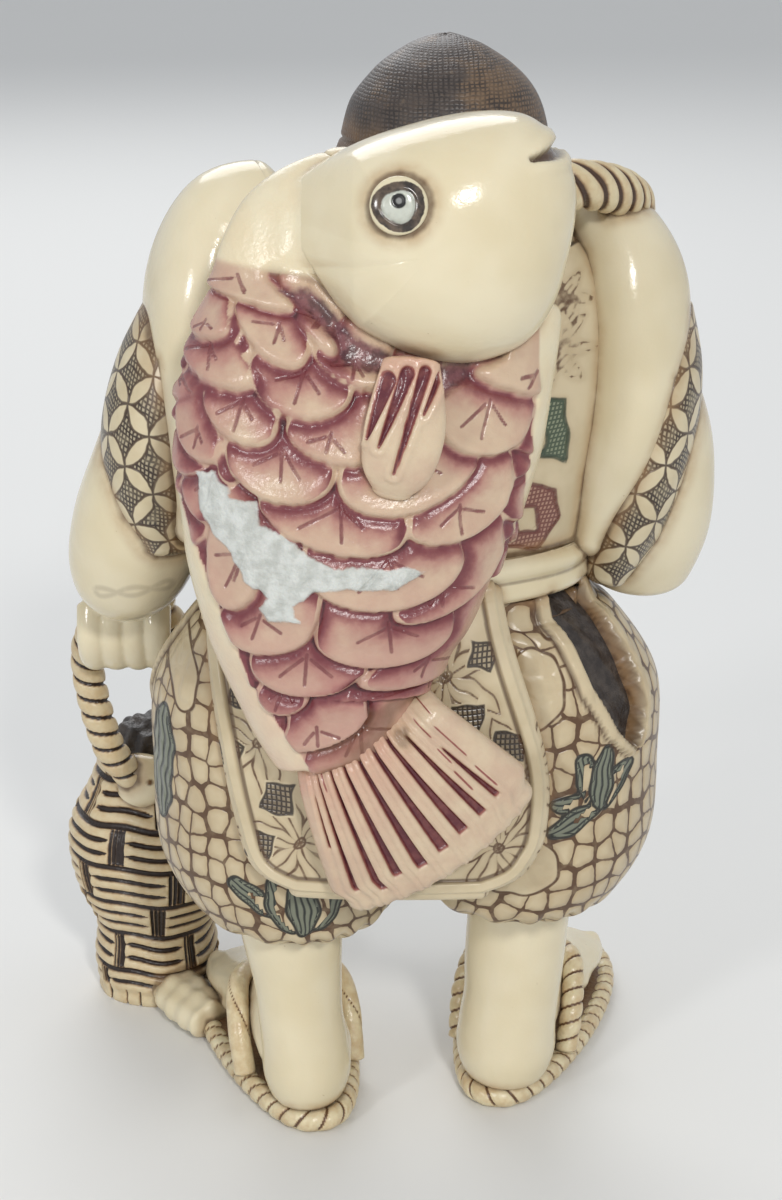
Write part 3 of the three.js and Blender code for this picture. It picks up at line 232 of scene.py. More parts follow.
def plate(surface, thick, wide=160, long=120, back=20):
    """A bent plate with half-round edges: a ring runs over the face, round one edge and over the back.

    `surface(t, s)` gives the face for t from -1 to 1 across and s from 0 to 1 along."""
    edge = np.linspace(0, np.pi, 9)[1:-1]
    t = np.concatenate([np.linspace(-1, 1, wide), np.ones(7), np.linspace(1, -1, back), -np.ones(7)])
    out = np.concatenate([np.zeros(wide), np.sin(edge), np.zeros(back), -np.sin(edge)])
    deep = np.concatenate([np.zeros(wide), (1 - np.cos(edge)) / 2, np.ones(back), (1 + np.cos(edge)) / 2])
    s = np.linspace(0, 1, long)
    q = np.linspace(0, 1.45, 7)[1:]
    row = np.concatenate([np.zeros(1, int), np.zeros(6, int), np.arange(long), np.full(6, long - 1), [long - 1]])
    flat = np.concatenate([[0], np.cos(q)[::-1], np.ones(long), np.cos(q), [0]])[:, None]
    push = np.concatenate([[-1], -np.sin(q)[::-1], np.zeros(long), np.sin(q), [1]])[:, None]
    p = surface(t[None] + 0 * s[:, None], s[:, None] + 0 * t[None])
    e = 1e-3
    across = unit(surface(t[None] + e + 0 * s[:, None], s[:, None] + 0 * t[None]) - p)
    down = unit(surface(t[None] + 0 * s[:, None], s[:, None] + e + 0 * t[None]) - p)
    normal = unit(np.cross(across, down))
    normal *= np.sign(normal[..., 1].mean()) * np.sign(p[..., 1].mean())
    depth = 0.5 + (deep[None] - 0.5) * flat
    point = p[row] + across[row] * (out[None] * flat * thick / 2)[..., None]
    point = point - normal[row] * (depth * thick)[..., None] + down[row] * (push * thick / 2)[..., None]
    point[0], point[-1] = point[0].mean(0), point[-1].mean(0)
    skin = Skin(np.roll(point, (len(t) - wide) // 2, 1), np.roll(t, (len(t) - wide) // 2), 7)
    skin.face = np.roll((deep[None] + 0 * s[row][:, None]) == 0, (len(t) - wide) // 2, 1)
    skin.s = s[row][:, None] + 0 * skin.c
    return skin


def segment(x, y, a, b):
    """Distance of points to a straight stroke from a to b."""
    ax, ay, bx, by = a[0], a[1], b[0] - a[0], b[1] - a[1]
    t = np.clip(((x - ax) * bx + (y - ay) * by) / (bx * bx + by * by), 0, 1)
    return np.hypot(x - ax - t * bx, y - ay - t * by)


def inside(x, y, outline):
    """Distance to a closed outline, negative inside it."""
    away, odd = np.full(x.shape, 1e9), np.zeros(x.shape, bool)
    for (ax, ay), (bx, by) in zip(outline, outline[1:] + outline[:1]):
        away = np.minimum(away, segment(x, y, (ax, ay), (bx, by)))
        odd ^= ((ay > y) != (by > y)) & (x < ax + (y - ay) * (bx - ax) / (by - ay + 1e-12))
    return np.where(odd, -away, away)


def ellipse(x, y, cx, cy, rx, ry, lean=0.0):
    """Distance to an oval, negative inside: (r - 1) over the length of r's slope."""
    c, s = math.cos(math.radians(lean)), math.sin(math.radians(lean))
    dx, dy = (x - cx) * c + (y - cy) * s, (y - cy) * c - (x - cx) * s
    r = np.hypot(dx / rx, dy / ry) + 1e-9
    return (r - 1) * r / (np.hypot(dx / rx ** 2, dy / ry ** 2) + 1e-9)


# ---------------------------------------------------------------- objects

made = []


def build(name, skins, finish, node):
    """One mesh from closed grids, placed in the frame. It stands for the solid `node`."""
    skins = skins if isinstance(skins, list) else [skins]
    points, faces, spans, marks, first = [], [], [], {}, 0
    names = sorted({k for s in skins for k in s.marks})
    for skin in skins:
        rows, cols = skin.p.shape[:2]
        body = skin.p[1:-1].reshape(-1, 3)
        points.append(np.concatenate([skin.p[0, :1], body, skin.p[-1, :1]]))
        j = np.arange(cols)
        n = (j + 1) % cols
        i = np.arange(rows - 3)[:, None]
        a, b = 1 + i * cols + j, 1 + i * cols + n
        quads = np.stack([a, b, b + cols, a + cols], -1).reshape(-1, 4)
        last = 1 + (rows - 2) * cols
        heads = np.stack([0 * j, 1 + n, 1 + j], -1)
        ends = np.stack([0 * j + last, last - cols + j, last - cols + n], -1)
        u, v = skin.across, np.repeat(skin.along[:, None], cols + 1, 1)
        uv = np.stack([u, v], -1)
        r = 1 + i
        quad_uv = np.stack([uv[r, j], uv[r, j + 1], uv[r + 1, j + 1], uv[r + 1, j]], -2).reshape(-1, 4, 2)
        head_uv = np.stack([(uv[0, j] + uv[0, j + 1]) / 2, uv[1, j + 1], uv[1, j]], -2)
        end_uv = np.stack([(uv[-1, j] + uv[-1, j + 1]) / 2, uv[-2, j], uv[-2, j + 1]], -2)
        p = points[-1]
        tris = np.concatenate([quads[:, :3], quads[:, [0, 2, 3]], heads, ends])
        volume = (p[tris[:, 0]] * np.cross(p[tris[:, 1]], p[tris[:, 2]])).sum()
        for part, part_uv in ((quads, quad_uv), (heads, head_uv), (ends, end_uv)):
            if volume < 0:
                part, part_uv = part[:, ::-1], part_uv[:, ::-1]
            faces.append(part + first)
            spans.append(part_uv.reshape(-1, 2))
        for k in names:
            m = skin.marks.get(k, np.zeros((rows, cols)))
            flat = np.concatenate([[m[0].mean()], m[1:-1].ravel(), [m[-1].mean()]])
            marks.setdefault(k, []).append(flat)
        first += len(p)
    points = (np.concatenate(points) + ORIGIN) * MM
    loops = np.concatenate([f.ravel() for f in faces])
    sizes = np.concatenate([np.full(len(f), f.shape[1]) for f in faces])
    mesh = bpy.data.meshes.new(name)
    mesh.vertices.add(len(points))
    mesh.vertices.foreach_set("co", points.ravel())
    mesh.loops.add(len(loops))
    mesh.loops.foreach_set("vertex_index", loops.astype(np.int32))
    mesh.polygons.add(len(sizes))
    mesh.polygons.foreach_set("loop_start", (np.cumsum(sizes) - sizes).astype(np.int32))
    mesh.polygons.foreach_set("loop_total", sizes.astype(np.int32))
    mesh.update(calc_edges=True)
    mesh.polygons.foreach_set("use_smooth", np.ones(len(sizes), bool))
    layer = mesh.uv_layers.new(name="span")
    layer.data.foreach_set("uv", np.concatenate(spans).ravel())
    for k in names:
        mesh.attributes.new(k, "FLOAT", "POINT").data.foreach_set("value", np.concatenate(marks[k]))
    mesh.materials.append(finish)
    thing = bpy.data.objects.new(name, mesh)
    bpy.context.scene.collection.objects.link(thing)
    thing["finish_slot"] = SLOTS[finish.name]
    made.append((thing, [node]))
    return thing


def settle(thing):
    """Turns the live modifiers into plain mesh."""
    graph = bpy.context.evaluated_depsgraph_get()
    mesh = bpy.data.meshes.new_from_object(thing.evaluated_get(graph))
    thing.modifiers.clear()
    old, thing.data = thing.data, mesh
    mesh.name = thing.name
    bpy.data.meshes.remove(old)
    mesh.polygons.foreach_set("use_smooth", np.ones(len(mesh.polygons), bool))


def melt(thing, voxel, rounds=4):
    """Joins overlapping closed forms into one skin and softens the seams where they meet."""
    remesh = thing.modifiers.new("join", "REMESH")
    remesh.mode, remesh.voxel_size = "VOXEL", voxel * MM
    soft = thing.modifiers.new("soften", "SMOOTH")
    soft.factor, soft.iterations = 0.5, rounds
    settle(thing)
    return thing


def nearness(thing, own):
    """Stores in `near` how far each point is from the neighbouring solids, in metres."""
    verts, tris, first = [], [], 0
    for node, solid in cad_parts.items():
        if node in own:
            continue
        mesh = solid.data
        mesh.calc_loop_triangles()
        co = np.zeros(len(mesh.vertices) * 3, np.float32)
        mesh.vertices.foreach_get("co", co)
        tri = np.zeros(len(mesh.loop_triangles) * 3, np.int32)
        mesh.loop_triangles.foreach_get("vertices", tri)
        verts.append(co.reshape(-1, 3))
        tris.append(tri.reshape(-1, 3) + first)
        first += len(mesh.vertices)
    rest = bpy.data.meshes.new("neighbours")
    rest.from_pydata(np.concatenate(verts), [], np.concatenate(tris))
    other = bpy.data.objects.new("neighbours", rest)
    bpy.context.scene.collection.objects.link(other)
    group = bpy.data.node_groups.new("nearness", "GeometryNodeTree")
    for way in ("INPUT", "OUTPUT"):
        group.interface.new_socket("Geometry", in_out=way, socket_type="NodeSocketGeometry")
    start, stop, info, near, store = (group.nodes.new(kind) for kind in (
        "NodeGroupInput", "NodeGroupOutput", "GeometryNodeObjectInfo", "GeometryNodeProximity",
        "GeometryNodeStoreNamedAttribute"))
    info.inputs["Object"].default_value = other
    near.target_element = "FACES"
    store.data_type, store.domain = "FLOAT", "POINT"
    store.inputs["Name"].default_value = "near"
    for giver, taker in ((info.outputs["Geometry"], near.inputs[0]), (start.outputs[0], store.inputs["Geometry"]),
                         (near.outputs["Distance"], store.inputs["Value"]),
                         (store.outputs["Geometry"], stop.inputs[0])):
        group.links.new(giver, taker)
    thing.modifiers.new("nearness", "NODES").node_group = group
    settle(thing)
    bpy.data.objects.remove(other)
    bpy.data.meshes.remove(rest)
    bpy.data.node_groups.remove(group)


# ---------------------------------------------------------------- finishes

def colour(r, g, b):
    """A colour as it is seen (0 to 255) in the renderer's own linear numbers."""
    c = np.array([r, g, b]) / 255
    return tuple(np.where(c <= 0.04045, c / 12.92, ((c + 0.055) / 1.055) ** 2.4)) + (1.0,)


class Wire:
    """A number inside a finish. Arithmetic on it adds Math nodes."""

    def __init__(self, finish, socket):
        self.finish, self.socket = finish, socket

    def _do(self, kind, *others, clamp=False):
        node = self.finish.tree.nodes.new("ShaderNodeMath")
        node.operation, node.use_clamp = kind, clamp
        for k, value in enumerate((self,) + others):
            self.finish.feed(node.inputs[k], value)
        return Wire(self.finish, node.outputs[0])

    def __add__(self, o): return self._do("ADD", o)
    def __sub__(self, o): return self._do("SUBTRACT", o)
    def __rsub__(self, o): return self._do("MULTIPLY_ADD", -1.0, o)
    def __mul__(self, o): return self._do("MULTIPLY", o)
    def __truediv__(self, o): return self._do("DIVIDE", o)
    def abs(self): return self._do("ABSOLUTE")
    def sin(self): return self._do("SINE")
    def sqrt(self): return self._do("SQRT")
    def round(self): return self._do("ROUND")
    def frac(self): return self._do("FRACT")
    def least(self, o): return self._do("MINIMUM", o)
    def most(self, o): return self._do("MAXIMUM", o)
    def limit(self): return self._do("ADD", 0.0, clamp=True)

    def wave(self, pitch):
        """Distance to the nearest of a family of lines that lie `pitch` apart."""
        return ((self / pitch + 0.5).frac() - 0.5).abs() * pitch

    def ramp(self, low, high, a=0.0, b=1.0):
        """From a at low to b at high along a smooth step."""
        node = self.finish.tree.nodes.new("ShaderNodeMapRange")
        node.interpolation_type = "SMOOTHSTEP"
        for k, value in zip(range(5), (self, low, high, a, b)):
            self.finish.feed(node.inputs[k], value)
        return Wire(self.finish, node.outputs[0])

    def fall(self, low, high):
        """From 1 at low to 0 at high along a smooth step."""
        return self.ramp(low, high, 1.0, 0.0)


class Finish:
    """A material whose colour, gloss and bump are put together from nodes."""

    def __init__(self, name):
        self.material = bpy.data.materials.new(name)
        self.material.use_nodes = True
        self.tree = self.material.node_tree
        self.shader = self.tree.nodes["Principled BSDF"]

    def feed(self, socket, value):
        if isinstance(value, Wire):
            self.tree.links.new(value.socket, socket)
        elif isinstance(value, bpy.types.NodeSocket):
            self.tree.links.new(value, socket)
        else:
            socket.default_value = value

    def mark(self, name):
        node = self.tree.nodes.new("ShaderNodeAttribute")
        node.attribute_name = name
        return Wire(self, node.outputs["Fac"])

    def span(self):
        """Across and along on the surface, in mm."""
        uv = self.tree.nodes.new("ShaderNodeUVMap")
        uv.uv_map = "span"
        split = self.tree.nodes.new("ShaderNodeSeparateXYZ")
        self.tree.links.new(uv.outputs[0], split.inputs[0])
        return Wire(self, split.outputs[0]), Wire(self, split.outputs[1])

    def vector(self, x, y, z=0.0):
        node = self.tree.nodes.new("ShaderNodeCombineXYZ")
        for socket, value in zip(node.inputs, (x, y, z)):
            self.feed(socket, value)
        return node.outputs[0]

    def body(self):
        """Place in the object, in mm."""
        place_node = self.tree.nodes.new("ShaderNodeTexCoord")
        scale = self.tree.nodes.new("ShaderNodeVectorMath")
        scale.operation = "SCALE"
        scale.inputs["Scale"].default_value = 1 / MM
        self.tree.links.new(place_node.outputs["Object"], scale.inputs[0])
        return scale.outputs[0]

    def place(self):
        """Place in the object, in mm, as three numbers."""
        split = self.tree.nodes.new("ShaderNodeSeparateXYZ")
        self.tree.links.new(self.body(), split.inputs[0])
        return [Wire(self, socket) for socket in split.outputs]

    def noise(self, size, detail=3.0, vector=None):
        """Cloudy noise from 0 to 1 whose blots are about `size` mm."""
        node = self.tree.nodes.new("ShaderNodeTexNoise")
        node.inputs["Scale"].default_value = 1.0 / size
        node.inputs["Detail"].default_value = detail
        node.inputs["Roughness"].default_value = 0.55
        self.tree.links.new(vector or self.body(), node.inputs["Vector"])
        return Wire(self, node.outputs[0])

    def cells(self, size, vector, feature):
        """Distance in irregular cells about `size` mm wide, to their edge or to their middle."""
        node = self.tree.nodes.new("ShaderNodeTexVoronoi")
        node.voronoi_dimensions, node.feature = "2D", feature
        node.inputs["Scale"].default_value = 1.0 / size
        node.inputs["Randomness"].default_value = 0.6
        self.tree.links.new(vector, node.inputs["Vector"])
        return Wire(self, node.outputs["Distance"]) * size

    def mix(self, amount, a, b):
        """From paint a to paint b by an amount. A paint is a socket or three numbers as for colour()."""
        node = self.tree.nodes.new("ShaderNodeMix")
        node.data_type = "RGBA"
        for k, value in ((0, amount), (6, a), (7, b)):
            self.feed(node.inputs[k], colour(*value) if isinstance(value, tuple) else value)
        return node.outputs[2]

    def clouds(self, size, one, other, low=0.3, detail=3.0):
        """Two colours that run into each other in soft clouds."""
        return self.mix(self.noise(size, detail).ramp(low, 0.7), one, other)

    def close(self, paint, rough, height=None, depth=0.25, glow=0.06):
        """Sets the shader: colour, gloss, a slight depth of light, and a bump whose height is in mm."""
        s = self.shader
        self.feed(s.inputs["Base Color"], paint)
        self.feed(s.inputs["Roughness"], rough)
        s.inputs["IOR"].default_value = 1.5
        s.inputs["Subsurface Weight"].default_value = glow
        s.inputs["Subsurface Radius"].default_value = (1.0, 0.6, 0.35)
        s.inputs["Subsurface Scale"].default_value = 0.0012
        if height is not None:
            bump = self.tree.nodes.new("ShaderNodeBump")
            bump.inputs["Strength"].default_value = depth
            bump.inputs["Distance"].default_value = MM
            self.feed(bump.inputs["Height"], height)
            self.tree.links.new(bump.outputs[0], s.inputs["Normal"])
        return self.material

    def crease_stain_and_shade(self, paint, reach=1.6, strong=0.8):
        """Brown stain and painted crease shade beside neighbouring pieces, broken up by noise."""
        near = self.mark("near") * (1 / MM)
        blot = self.noise(1.6)
        # painted shade and brown stain: a wide pale-brown band out to `reach` mm, then a tight dark line where the
        # pieces meet
        wide = near.fall(0.15, reach) * (blot * 1.1) * strong
        tight = near.fall(0.1, 0.55) * (blot + 0.35).limit() * strong
        paint = self.mix(wide.limit(), paint, (160, 122, 78))
        return self.mix(tight.limit(), paint, (74, 50, 33))


IVORY = (222, 211, 182)
LINE = (84, 60, 40)


def ivory(name, rough=0.13):
    """Polished cast stone: ivory with faint clouds. Furrows marked `cut` are brown. Creases beside neighbouring
    pieces get brown stain and painted shade, but those marked `calm` stay clean of both."""
    f = Finish(name)
    cloud = f.noise(9.0, 2.0)
    paint = f.mix(cloud.ramp(0.35, 0.7), IVORY, (214, 201, 168))
    speck = f.noise(0.35, 1.0).ramp(0.76, 0.82) * f.noise(3.0, 1.0).ramp(0.52, 0.62)
    paint = f.mix(speck * 0.35, paint, (140, 105, 70))
    cut = f.mark("cut")
    paint = f.mix((cut * f.noise(0.9).ramp(0.2, 0.5, 0.6, 1.0)).limit(), paint, LINE)
    # brown stain and painted shade in the creases beside other pieces, except where marked calm
    paint = f.mix(f.mark("calm"), f.crease_stain_and_shade(paint), paint)
    return f.close(paint, f.noise(2.5).ramp(0.3, 0.7, rough, rough + 0.07), f.noise(1.2, 4.0), 0.05)


def corded(name, ground, dark, rough=0.32):
    """Wound strands or wicker: pale on the strands, dark stain in the furrows (`cut`)."""
    f = Finish(name)
    grain = f.noise(0.5, 2.0)
    cut = f.mark("cut") + (grain - 0.5) * 0.25
    paint = f.mix(f.noise(1.5).ramp(0.3, 0.7), ground, (198, 176, 138))
    paint = f.mix(cut.ramp(0.08, 0.4) * 0.8, paint, (140, 106, 74))
    paint = f.mix(cut.ramp(0.3, 0.62), paint, dark)
    # brown stain and painted shade in the creases beside other pieces
    paint = f.crease_stain_and_shade(paint, 0.9, 0.6)
    return f.close(paint, rough, grain, 0.12)


def hatched(f, x, y, step=0.42):
    """Crossed pen strokes, 1 on a stroke."""
    one, other = x + (y * 1.7).sin() * 0.06, y + (x * 1.3).sin() * 0.06
    return one.wave(step).least(other.wave(step * 1.15)).fall(0.04, 0.13)


def flowered(name):
    """Coat cloth: cream ground with engraved flowers.

    pen: mm to the nearest line; box: mm inside or outside the small hatched squares; green, red: the
    same for the stained figures; cut: a brown line beside the hem."""
    f = Finish(name)
    x, _, z = f.place()
    rough_edge = (f.noise(0.6, 2.0) - 0.5) * 0.1
    pen = (f.mark("pen") + rough_edge).fall(0.05, 0.17) * f.noise(1.4).ramp(0.25, 0.6, 0.55, 1.0)
    box, green, red = (f.mark(k) + rough_edge * 0.6 for k in ("box", "green", "red"))
    paint = f.clouds(5.0, (204, 189, 158), (190, 174, 142), 0.35)
    wash = (f.mark("pen") + rough_edge).ramp(0.1, 0.7, 0.22, 0.0)
    paint = f.mix(wash, paint, (150, 120, 84))
    paint = f.mix(pen, paint, (98, 73, 52))
    hatch = hatched(f, x, z)
    inside_box = box.fall(-0.05, 0.05)
    shade = f.noise(6.0, 1.0).ramp(0.4, 0.6, 0.35, 0.85)
    paint = f.mix(inside_box * shade, paint, (96, 82, 66))
    paint = f.mix((inside_box * hatch).most(box.abs().fall(0.06, 0.2)) * 0.92, paint, (48, 38, 32))
    for figure, tint, ink in ((green, (112, 128, 106), (44, 62, 46)), (red, (158, 112, 98), (96, 44, 40))):
        fill = figure.fall(-0.05, 0.05) * f.mark("tinted")
        paint = f.mix(fill * 0.8, paint, tint)
        edge = figure.abs().fall(0.12, 0.3) * f.mark("tinted")
        paint = f.mix((fill * hatched(f, x + z * 0.3, z, 0.36)).most(edge) * 0.85, paint, ink)
    paint = f.mix(f.mark("cut").limit(), paint, LINE)
    # brown stain and painted shade in the creases beside other pieces
    paint = f.crease_stain_and_shade(paint)
    return f.close(paint, 0.3, 1.0 - pen.most(inside_box * hatch), 0.28)


def pebbled(name):
    """Trouser cloth: rounded cells with brown outlines, plain ovals (`oval`) and green leaf bundles (`leaf`)."""
    f = Finish(name)
    x, y = f.span()
    wob = f.noise(1.8, 2.0)
    wob2 = f.noise(1.8, 2.0, f.vector(y + 40.0, x))
    at = f.vector(x + (wob - 0.5) * 0.5, y * 0.9 + (wob2 - 0.5) * 0.5)
    gap, core = (f.cells(2.1, at, feature) for feature in ("DISTANCE_TO_EDGE", "F1"))
    oval, leaf = f.mark("oval"), f.mark("leaf")
    bare = oval.ramp(0.0, 0.12) * leaf.ramp(0.0, 0.12) * (1.0 - f.mark("plain").ramp(0.3, 0.6))
    # corners of the cells are rounded: there the outline is wider
    gap = gap - core.ramp(0.85, 1.5, 0.0, 0.26)
    width = f.noise(1.6).ramp(0.3, 0.7, 0.05, 0.12)
    pen = gap.fall(width * 0.5, width + 0.05) * bare
    ring = oval.abs().fall(0.06, 0.2) * (1.0 - f.mark("plain").ramp(0.3, 0.6))
    near_edge = gap.fall(0.05, 0.75) * bare
    paint = f.clouds(4.0, (200, 184, 152), (186, 168, 136))
    paint = f.mix(near_edge * 0.34, paint, (156, 128, 90))
    paint = f.mix(pen.most(ring) * f.noise(1.0).ramp(0.2, 0.55, 0.7, 1.0), paint, (88, 62, 40))
    stroke = (f.mark("vein") + (wob - 0.5) * 0.12).wave(0.5).fall(0.03, 0.15)
    blade = leaf.fall(-0.08, 0.04)
    paint = f.mix(blade * 0.9, paint, (104, 112, 98))
    paint = f.mix(blade * stroke, paint, (38, 42, 38))
    paint = f.mix(leaf.abs().fall(0.06, 0.2), paint, (42, 40, 34))
    paint = f.mix(f.mark("cut").limit(), paint, LINE)
    # brown stain and painted shade in the creases beside other pieces
    paint = f.crease_stain_and_shade(paint)
    height = (1.0 - pen.most(ring)) * 0.7 + gap.ramp(0.0, 0.7) * 0.3 - blade * stroke * 0.6
    return f.close(paint, 0.3, height, 0.3)


def petalled(name):
    """Cuff cloth: pale pointed petals of overlapping circles on a dark hatched ground."""
    f = Finish(name)
    x, y = f.span()
    wob = f.noise(2.0, 2.0)
    x, y = x + (wob - 0.5) * 0.7, y + (f.noise(2.2, 2.0, f.vector(y, x)) - 0.5) * 0.7
    pitch = 3.7
    p, q = (x * 0.8 - y * 0.6) / pitch, (x * 0.6 + y * 0.8) / pitch
    p, q = (p - p.round()).abs(), (q - q.round()).abs()
    a = ((1.0 - p) * (1.0 - p) + q * q).sqrt()
    b = (p * p + (1.0 - q) * (1.0 - q)).sqrt()
    d = (a.least(b) - 0.7071) * pitch
    petal = d.fall(-0.06, 0.03)
    line = d.abs().fall(0.06, 0.18)
    hatch = x.wave(0.4).least((y + x * 0.3).wave(0.45)).ramp(0.04, 0.16, 1.0, 0.35)
    paint = f.clouds(4.0, (210, 197, 166), (196, 181, 148))
    paint = f.mix(hatch * (1.0 - petal) * f.noise(1.5).ramp(0.2, 0.6, 0.7, 1.0), paint, (52, 40, 33))
    paint = f.mix(line * 0.9, paint, (70, 52, 38))
    # brown stain and painted shade in the creases beside other pieces
    paint = f.crease_stain_and_shade(paint)
    return f.close(paint, 0.3, petal, 0.3)


def scaly(name):
    """Carp skin: pale scales with purple-red stain below each rim and strokes on each scale.

    under: mm below the rim of the scale above; edge: mm from the rim, negative below it; pen: mm to the
    nearest stroke; bare: smooth cream skin; chip, pool: mm to the white patch and to the dark hollow by the
    head; blush: pink flush; calm: creases that get neither crease stain nor painted shade."""
    f = Finish(name)
    under, blot = f.mark("under"), f.noise(1.1, 3.0)
    chip = f.mark("chip") + (f.noise(1.3, 4.0) - 0.5) * 0.9
    pool = f.mark("pool") + (blot - 0.5) * 0.8
    bare = f.mark("bare").ramp(0.2, 0.8)
    blush = f.mark("blush")
    paint = f.clouds(3.0, (202, 178, 152), (192, 162, 140))
    paint = f.mix((blush * f.noise(2.0).ramp(0.2, 0.8, 0.5, 1.0)).limit() * 0.9, paint, (176, 128, 120))
    own = f.mark("edge").fall(-0.06, 0.06)
    soft = (under + (blot - 0.5) * 1.5).ramp(0.5, 2.9, 0.85, 0.0) * own
    paint = f.mix(soft, paint, (164, 104, 100))
    paint = f.mix((under + (blot - 0.5) * 0.8).ramp(0.35, 1.5, 0.95, 0.0) * own, paint, (112, 52, 60))
    paint = f.mix((under + (f.noise(0.5) - 0.5) * 0.14).ramp(0.14, 0.4, 0.95, 0.0) * own, paint, (58, 24, 30))
    pen = (f.mark("pen") + (f.noise(0.6) - 0.5) * 0.14).fall(0.08, 0.22) * f.noise(1.7).ramp(0.3, 0.6, 0.6, 1.0)
    paint = f.mix(pen * 0.85, paint, (112, 54, 58))
    smooth = f.mix(f.noise(4.0).ramp(0.3, 0.7), IVORY, (219, 204, 172))
    smooth = f.mix((blush * f.noise(2.5).ramp(0.2, 0.8, 0.5, 1.1)).limit() * 0.7, smooth, (206, 168, 150))
    paint = f.mix(bare, paint, smooth)
    wet = pool.fall(-0.25, 0.25)
    paint = f.mix(wet * 0.92, paint, f.mix(f.noise(1.2, 3.0).ramp(0.35, 0.65), (70, 36, 44), (122, 76, 80)))
    white = chip.fall(-0.12, 0.12)
    chalk = f.clouds(1.1, (206, 208, 203), (182, 184, 178), 0.35, 4.0)
    paint = f.mix(white, paint, chalk)
    # brown stain and painted shade in the creases beside other pieces, except where marked calm
    paint = f.mix(f.mark("calm"), f.crease_stain_and_shade(paint, 1.1, 0.5), paint)
    gloss = white.ramp(0.0, 1.0, 0.24, 0.6)
    height = (1.0 - pen) * 0.6 + f.noise(0.5, 4.0) * 0.2
    height = height + white * f.noise(0.5, 4.0) * 0.7 + wet * f.noise(0.9, 2.0) * 0.3
    return f.close(paint, gloss, height, 0.3)


def finned(name):
    """Fins: pale rays, dark red furrows (`cut`), pink flush (`blush`)."""
    f = Finish(name)
    cut = f.mark("cut") + (f.noise(0.7) - 0.5) * 0.3
    paint = f.clouds(3.0, (206, 186, 158), (196, 170, 146))
    paint = f.mix((f.mark("blush") * f.noise(2.0).ramp(0.2, 0.8, 0.5, 1.2)).limit() * 0.65, paint, (196, 146, 128))
    paint = f.mix(cut.ramp(0.15, 0.5), paint, (150, 92, 84))
    paint = f.mix(cut.ramp(0.5, 0.85) * f.noise(1.2).ramp(0.3, 0.6, 0.6, 1.0), paint, (96, 42, 50))
    # brown stain and painted shade in the creases beside other pieces
    paint = f.crease_stain_and_shade(paint, 1.1, 0.5)
    return f.close(paint, 0.25, f.noise(0.6, 3.0), 0.12)


def woven_cap(name):
    """Cap: dark cloth with fine uneven cross-hatching, browner on one side."""
    f = Finish(name)
    x, y = f.span()
    x, y = x + (f.noise(1.5, 2.0) - 0.5) * 0.5, y + (f.noise(1.7, 2.0, f.vector(y, x)) - 0.5) * 0.5
    thread = x.wave(0.46).least(y.wave(0.4))
    pen = (thread + (f.noise(0.6) - 0.5) * 0.2).fall(0.03, 0.15)
    side, _, _ = f.place()
    # lighter brown in cloudy blots, and more of it towards one side, where x is below -6 mm
    lighter_blots_and_side = (f.noise(2.5, 3.0) + side.ramp(-6.0, -13.0, 0.0, 0.35)).ramp(0.5, 0.8)
    paint = f.mix(lighter_blots_and_side, (76, 66, 60), (114, 92, 70))
    paint = f.mix(pen * f.noise(1.6).ramp(0.3, 0.65, 0.3, 0.9), paint, (40, 34, 32))
    paint = f.mix(f.noise(0.9, 3.0).ramp(0.62, 0.78) * 0.4, paint, (126, 108, 88))
    # brown stain and painted shade in the creases beside other pieces
    paint = f.crease_stain_and_shade(paint, 1.0, 0.6)
    return f.close(paint, 0.4, (1.0 - pen) * f.noise(1.6).ramp(0.3, 0.65, 0.4, 1.0), 0.22)


def lining(name):
    """Nearly black stained hollows with a sheen of wear."""
    f = Finish(name)
    paint = f.clouds(1.2, (44, 37, 34), (74, 66, 60), 0.35, 4.0)
    return f.close(paint, 0.36, f.noise(0.7, 4.0), 0.3, 0.0)


def eye_finish(name):
    """`ring`: mm from the dark band's inner edge; `pupil`: mm from the pupil's middle."""
    f = Finish(name)
    ring = f.mark("ring") + (f.noise(0.7) - 0.5) * 0.25
    pupil = f.mark("pupil") + (f.noise(0.5) - 0.5) * 0.12
    paint = f.clouds(1.0, (196, 199, 188), (176, 178, 166))
    paint = f.mix(ring.ramp(-0.08, 0.08), paint, f.mix(f.noise(0.8).ramp(0.35, 0.65), (52, 46, 42), (98, 84, 72)))
    paint = f.mix(ring.ramp(0.68, 0.78), paint, (214, 203, 172))
    paint = f.mix(pupil.fall(0.5, 0.64), paint, (24, 23, 24))
    paint = f.mix(pupil.fall(0.16, 0.3) * 0.75, paint, (150, 150, 148))
    return f.close(paint, 0.16, None)


SKIN = ivory("ivory")
SKIN_DULL = ivory("ivory_satin", 0.3)
CORD = corded("cord", (214, 200, 164), (70, 48, 34))
STRAP = corded("strap_cord", (218, 205, 170), (96, 68, 46), 0.28)
WICKER = corded("wicker", (208, 192, 158), (40, 27, 21), 0.34)
FLOWERS = flowered("flowered_cloth")
PEBBLES = pebbled("pebbled_cloth")
PETALS = petalled("petalled_cloth")
SCALES = scaly("carp_scales")
FINS = finned("carp_fins")
CAP = woven_cap("cap_cloth")
DARK = lining("dark_stain")
EYE = eye_finish("carp_eye_paint")

SLOTS = {finish.name: slot for slot, group in {
    "polished": (SKIN, SKIN_DULL, CORD, STRAP), "engraved": (FLOWERS, PEBBLES, PETALS), "wicker": (WICKER,),
    "scales": (SCALES, FINS), "dark_stain": (CAP, DARK), "eye": (EYE,)}.items() for finish in group}

# Stained figures on the coat's back, as outlines in x, z
GREEN = [(-12.5, 72.9), (-14.8, 73), (-15.3, 70.1), (-15.1, 67.2), (-11.6, 68.8)]

RED = [(-11.1, 66.1), (-14.3, 64.8), (-14.6, 62.1), (-12.9, 59.2), (-9.6, 60.4)]

RED_SQUARE = [(-10.9, 63.6), (-12.7, 63.4), (-12.9, 60.9), (-11, 61.1)]

SMALL_SQUARE = [(-14.9, 87), (-16.4, 86.8), (-16.6, 85.4), (-14.9, 85.5)]


# ---------------------------------------------------------------- coat, belt and collars

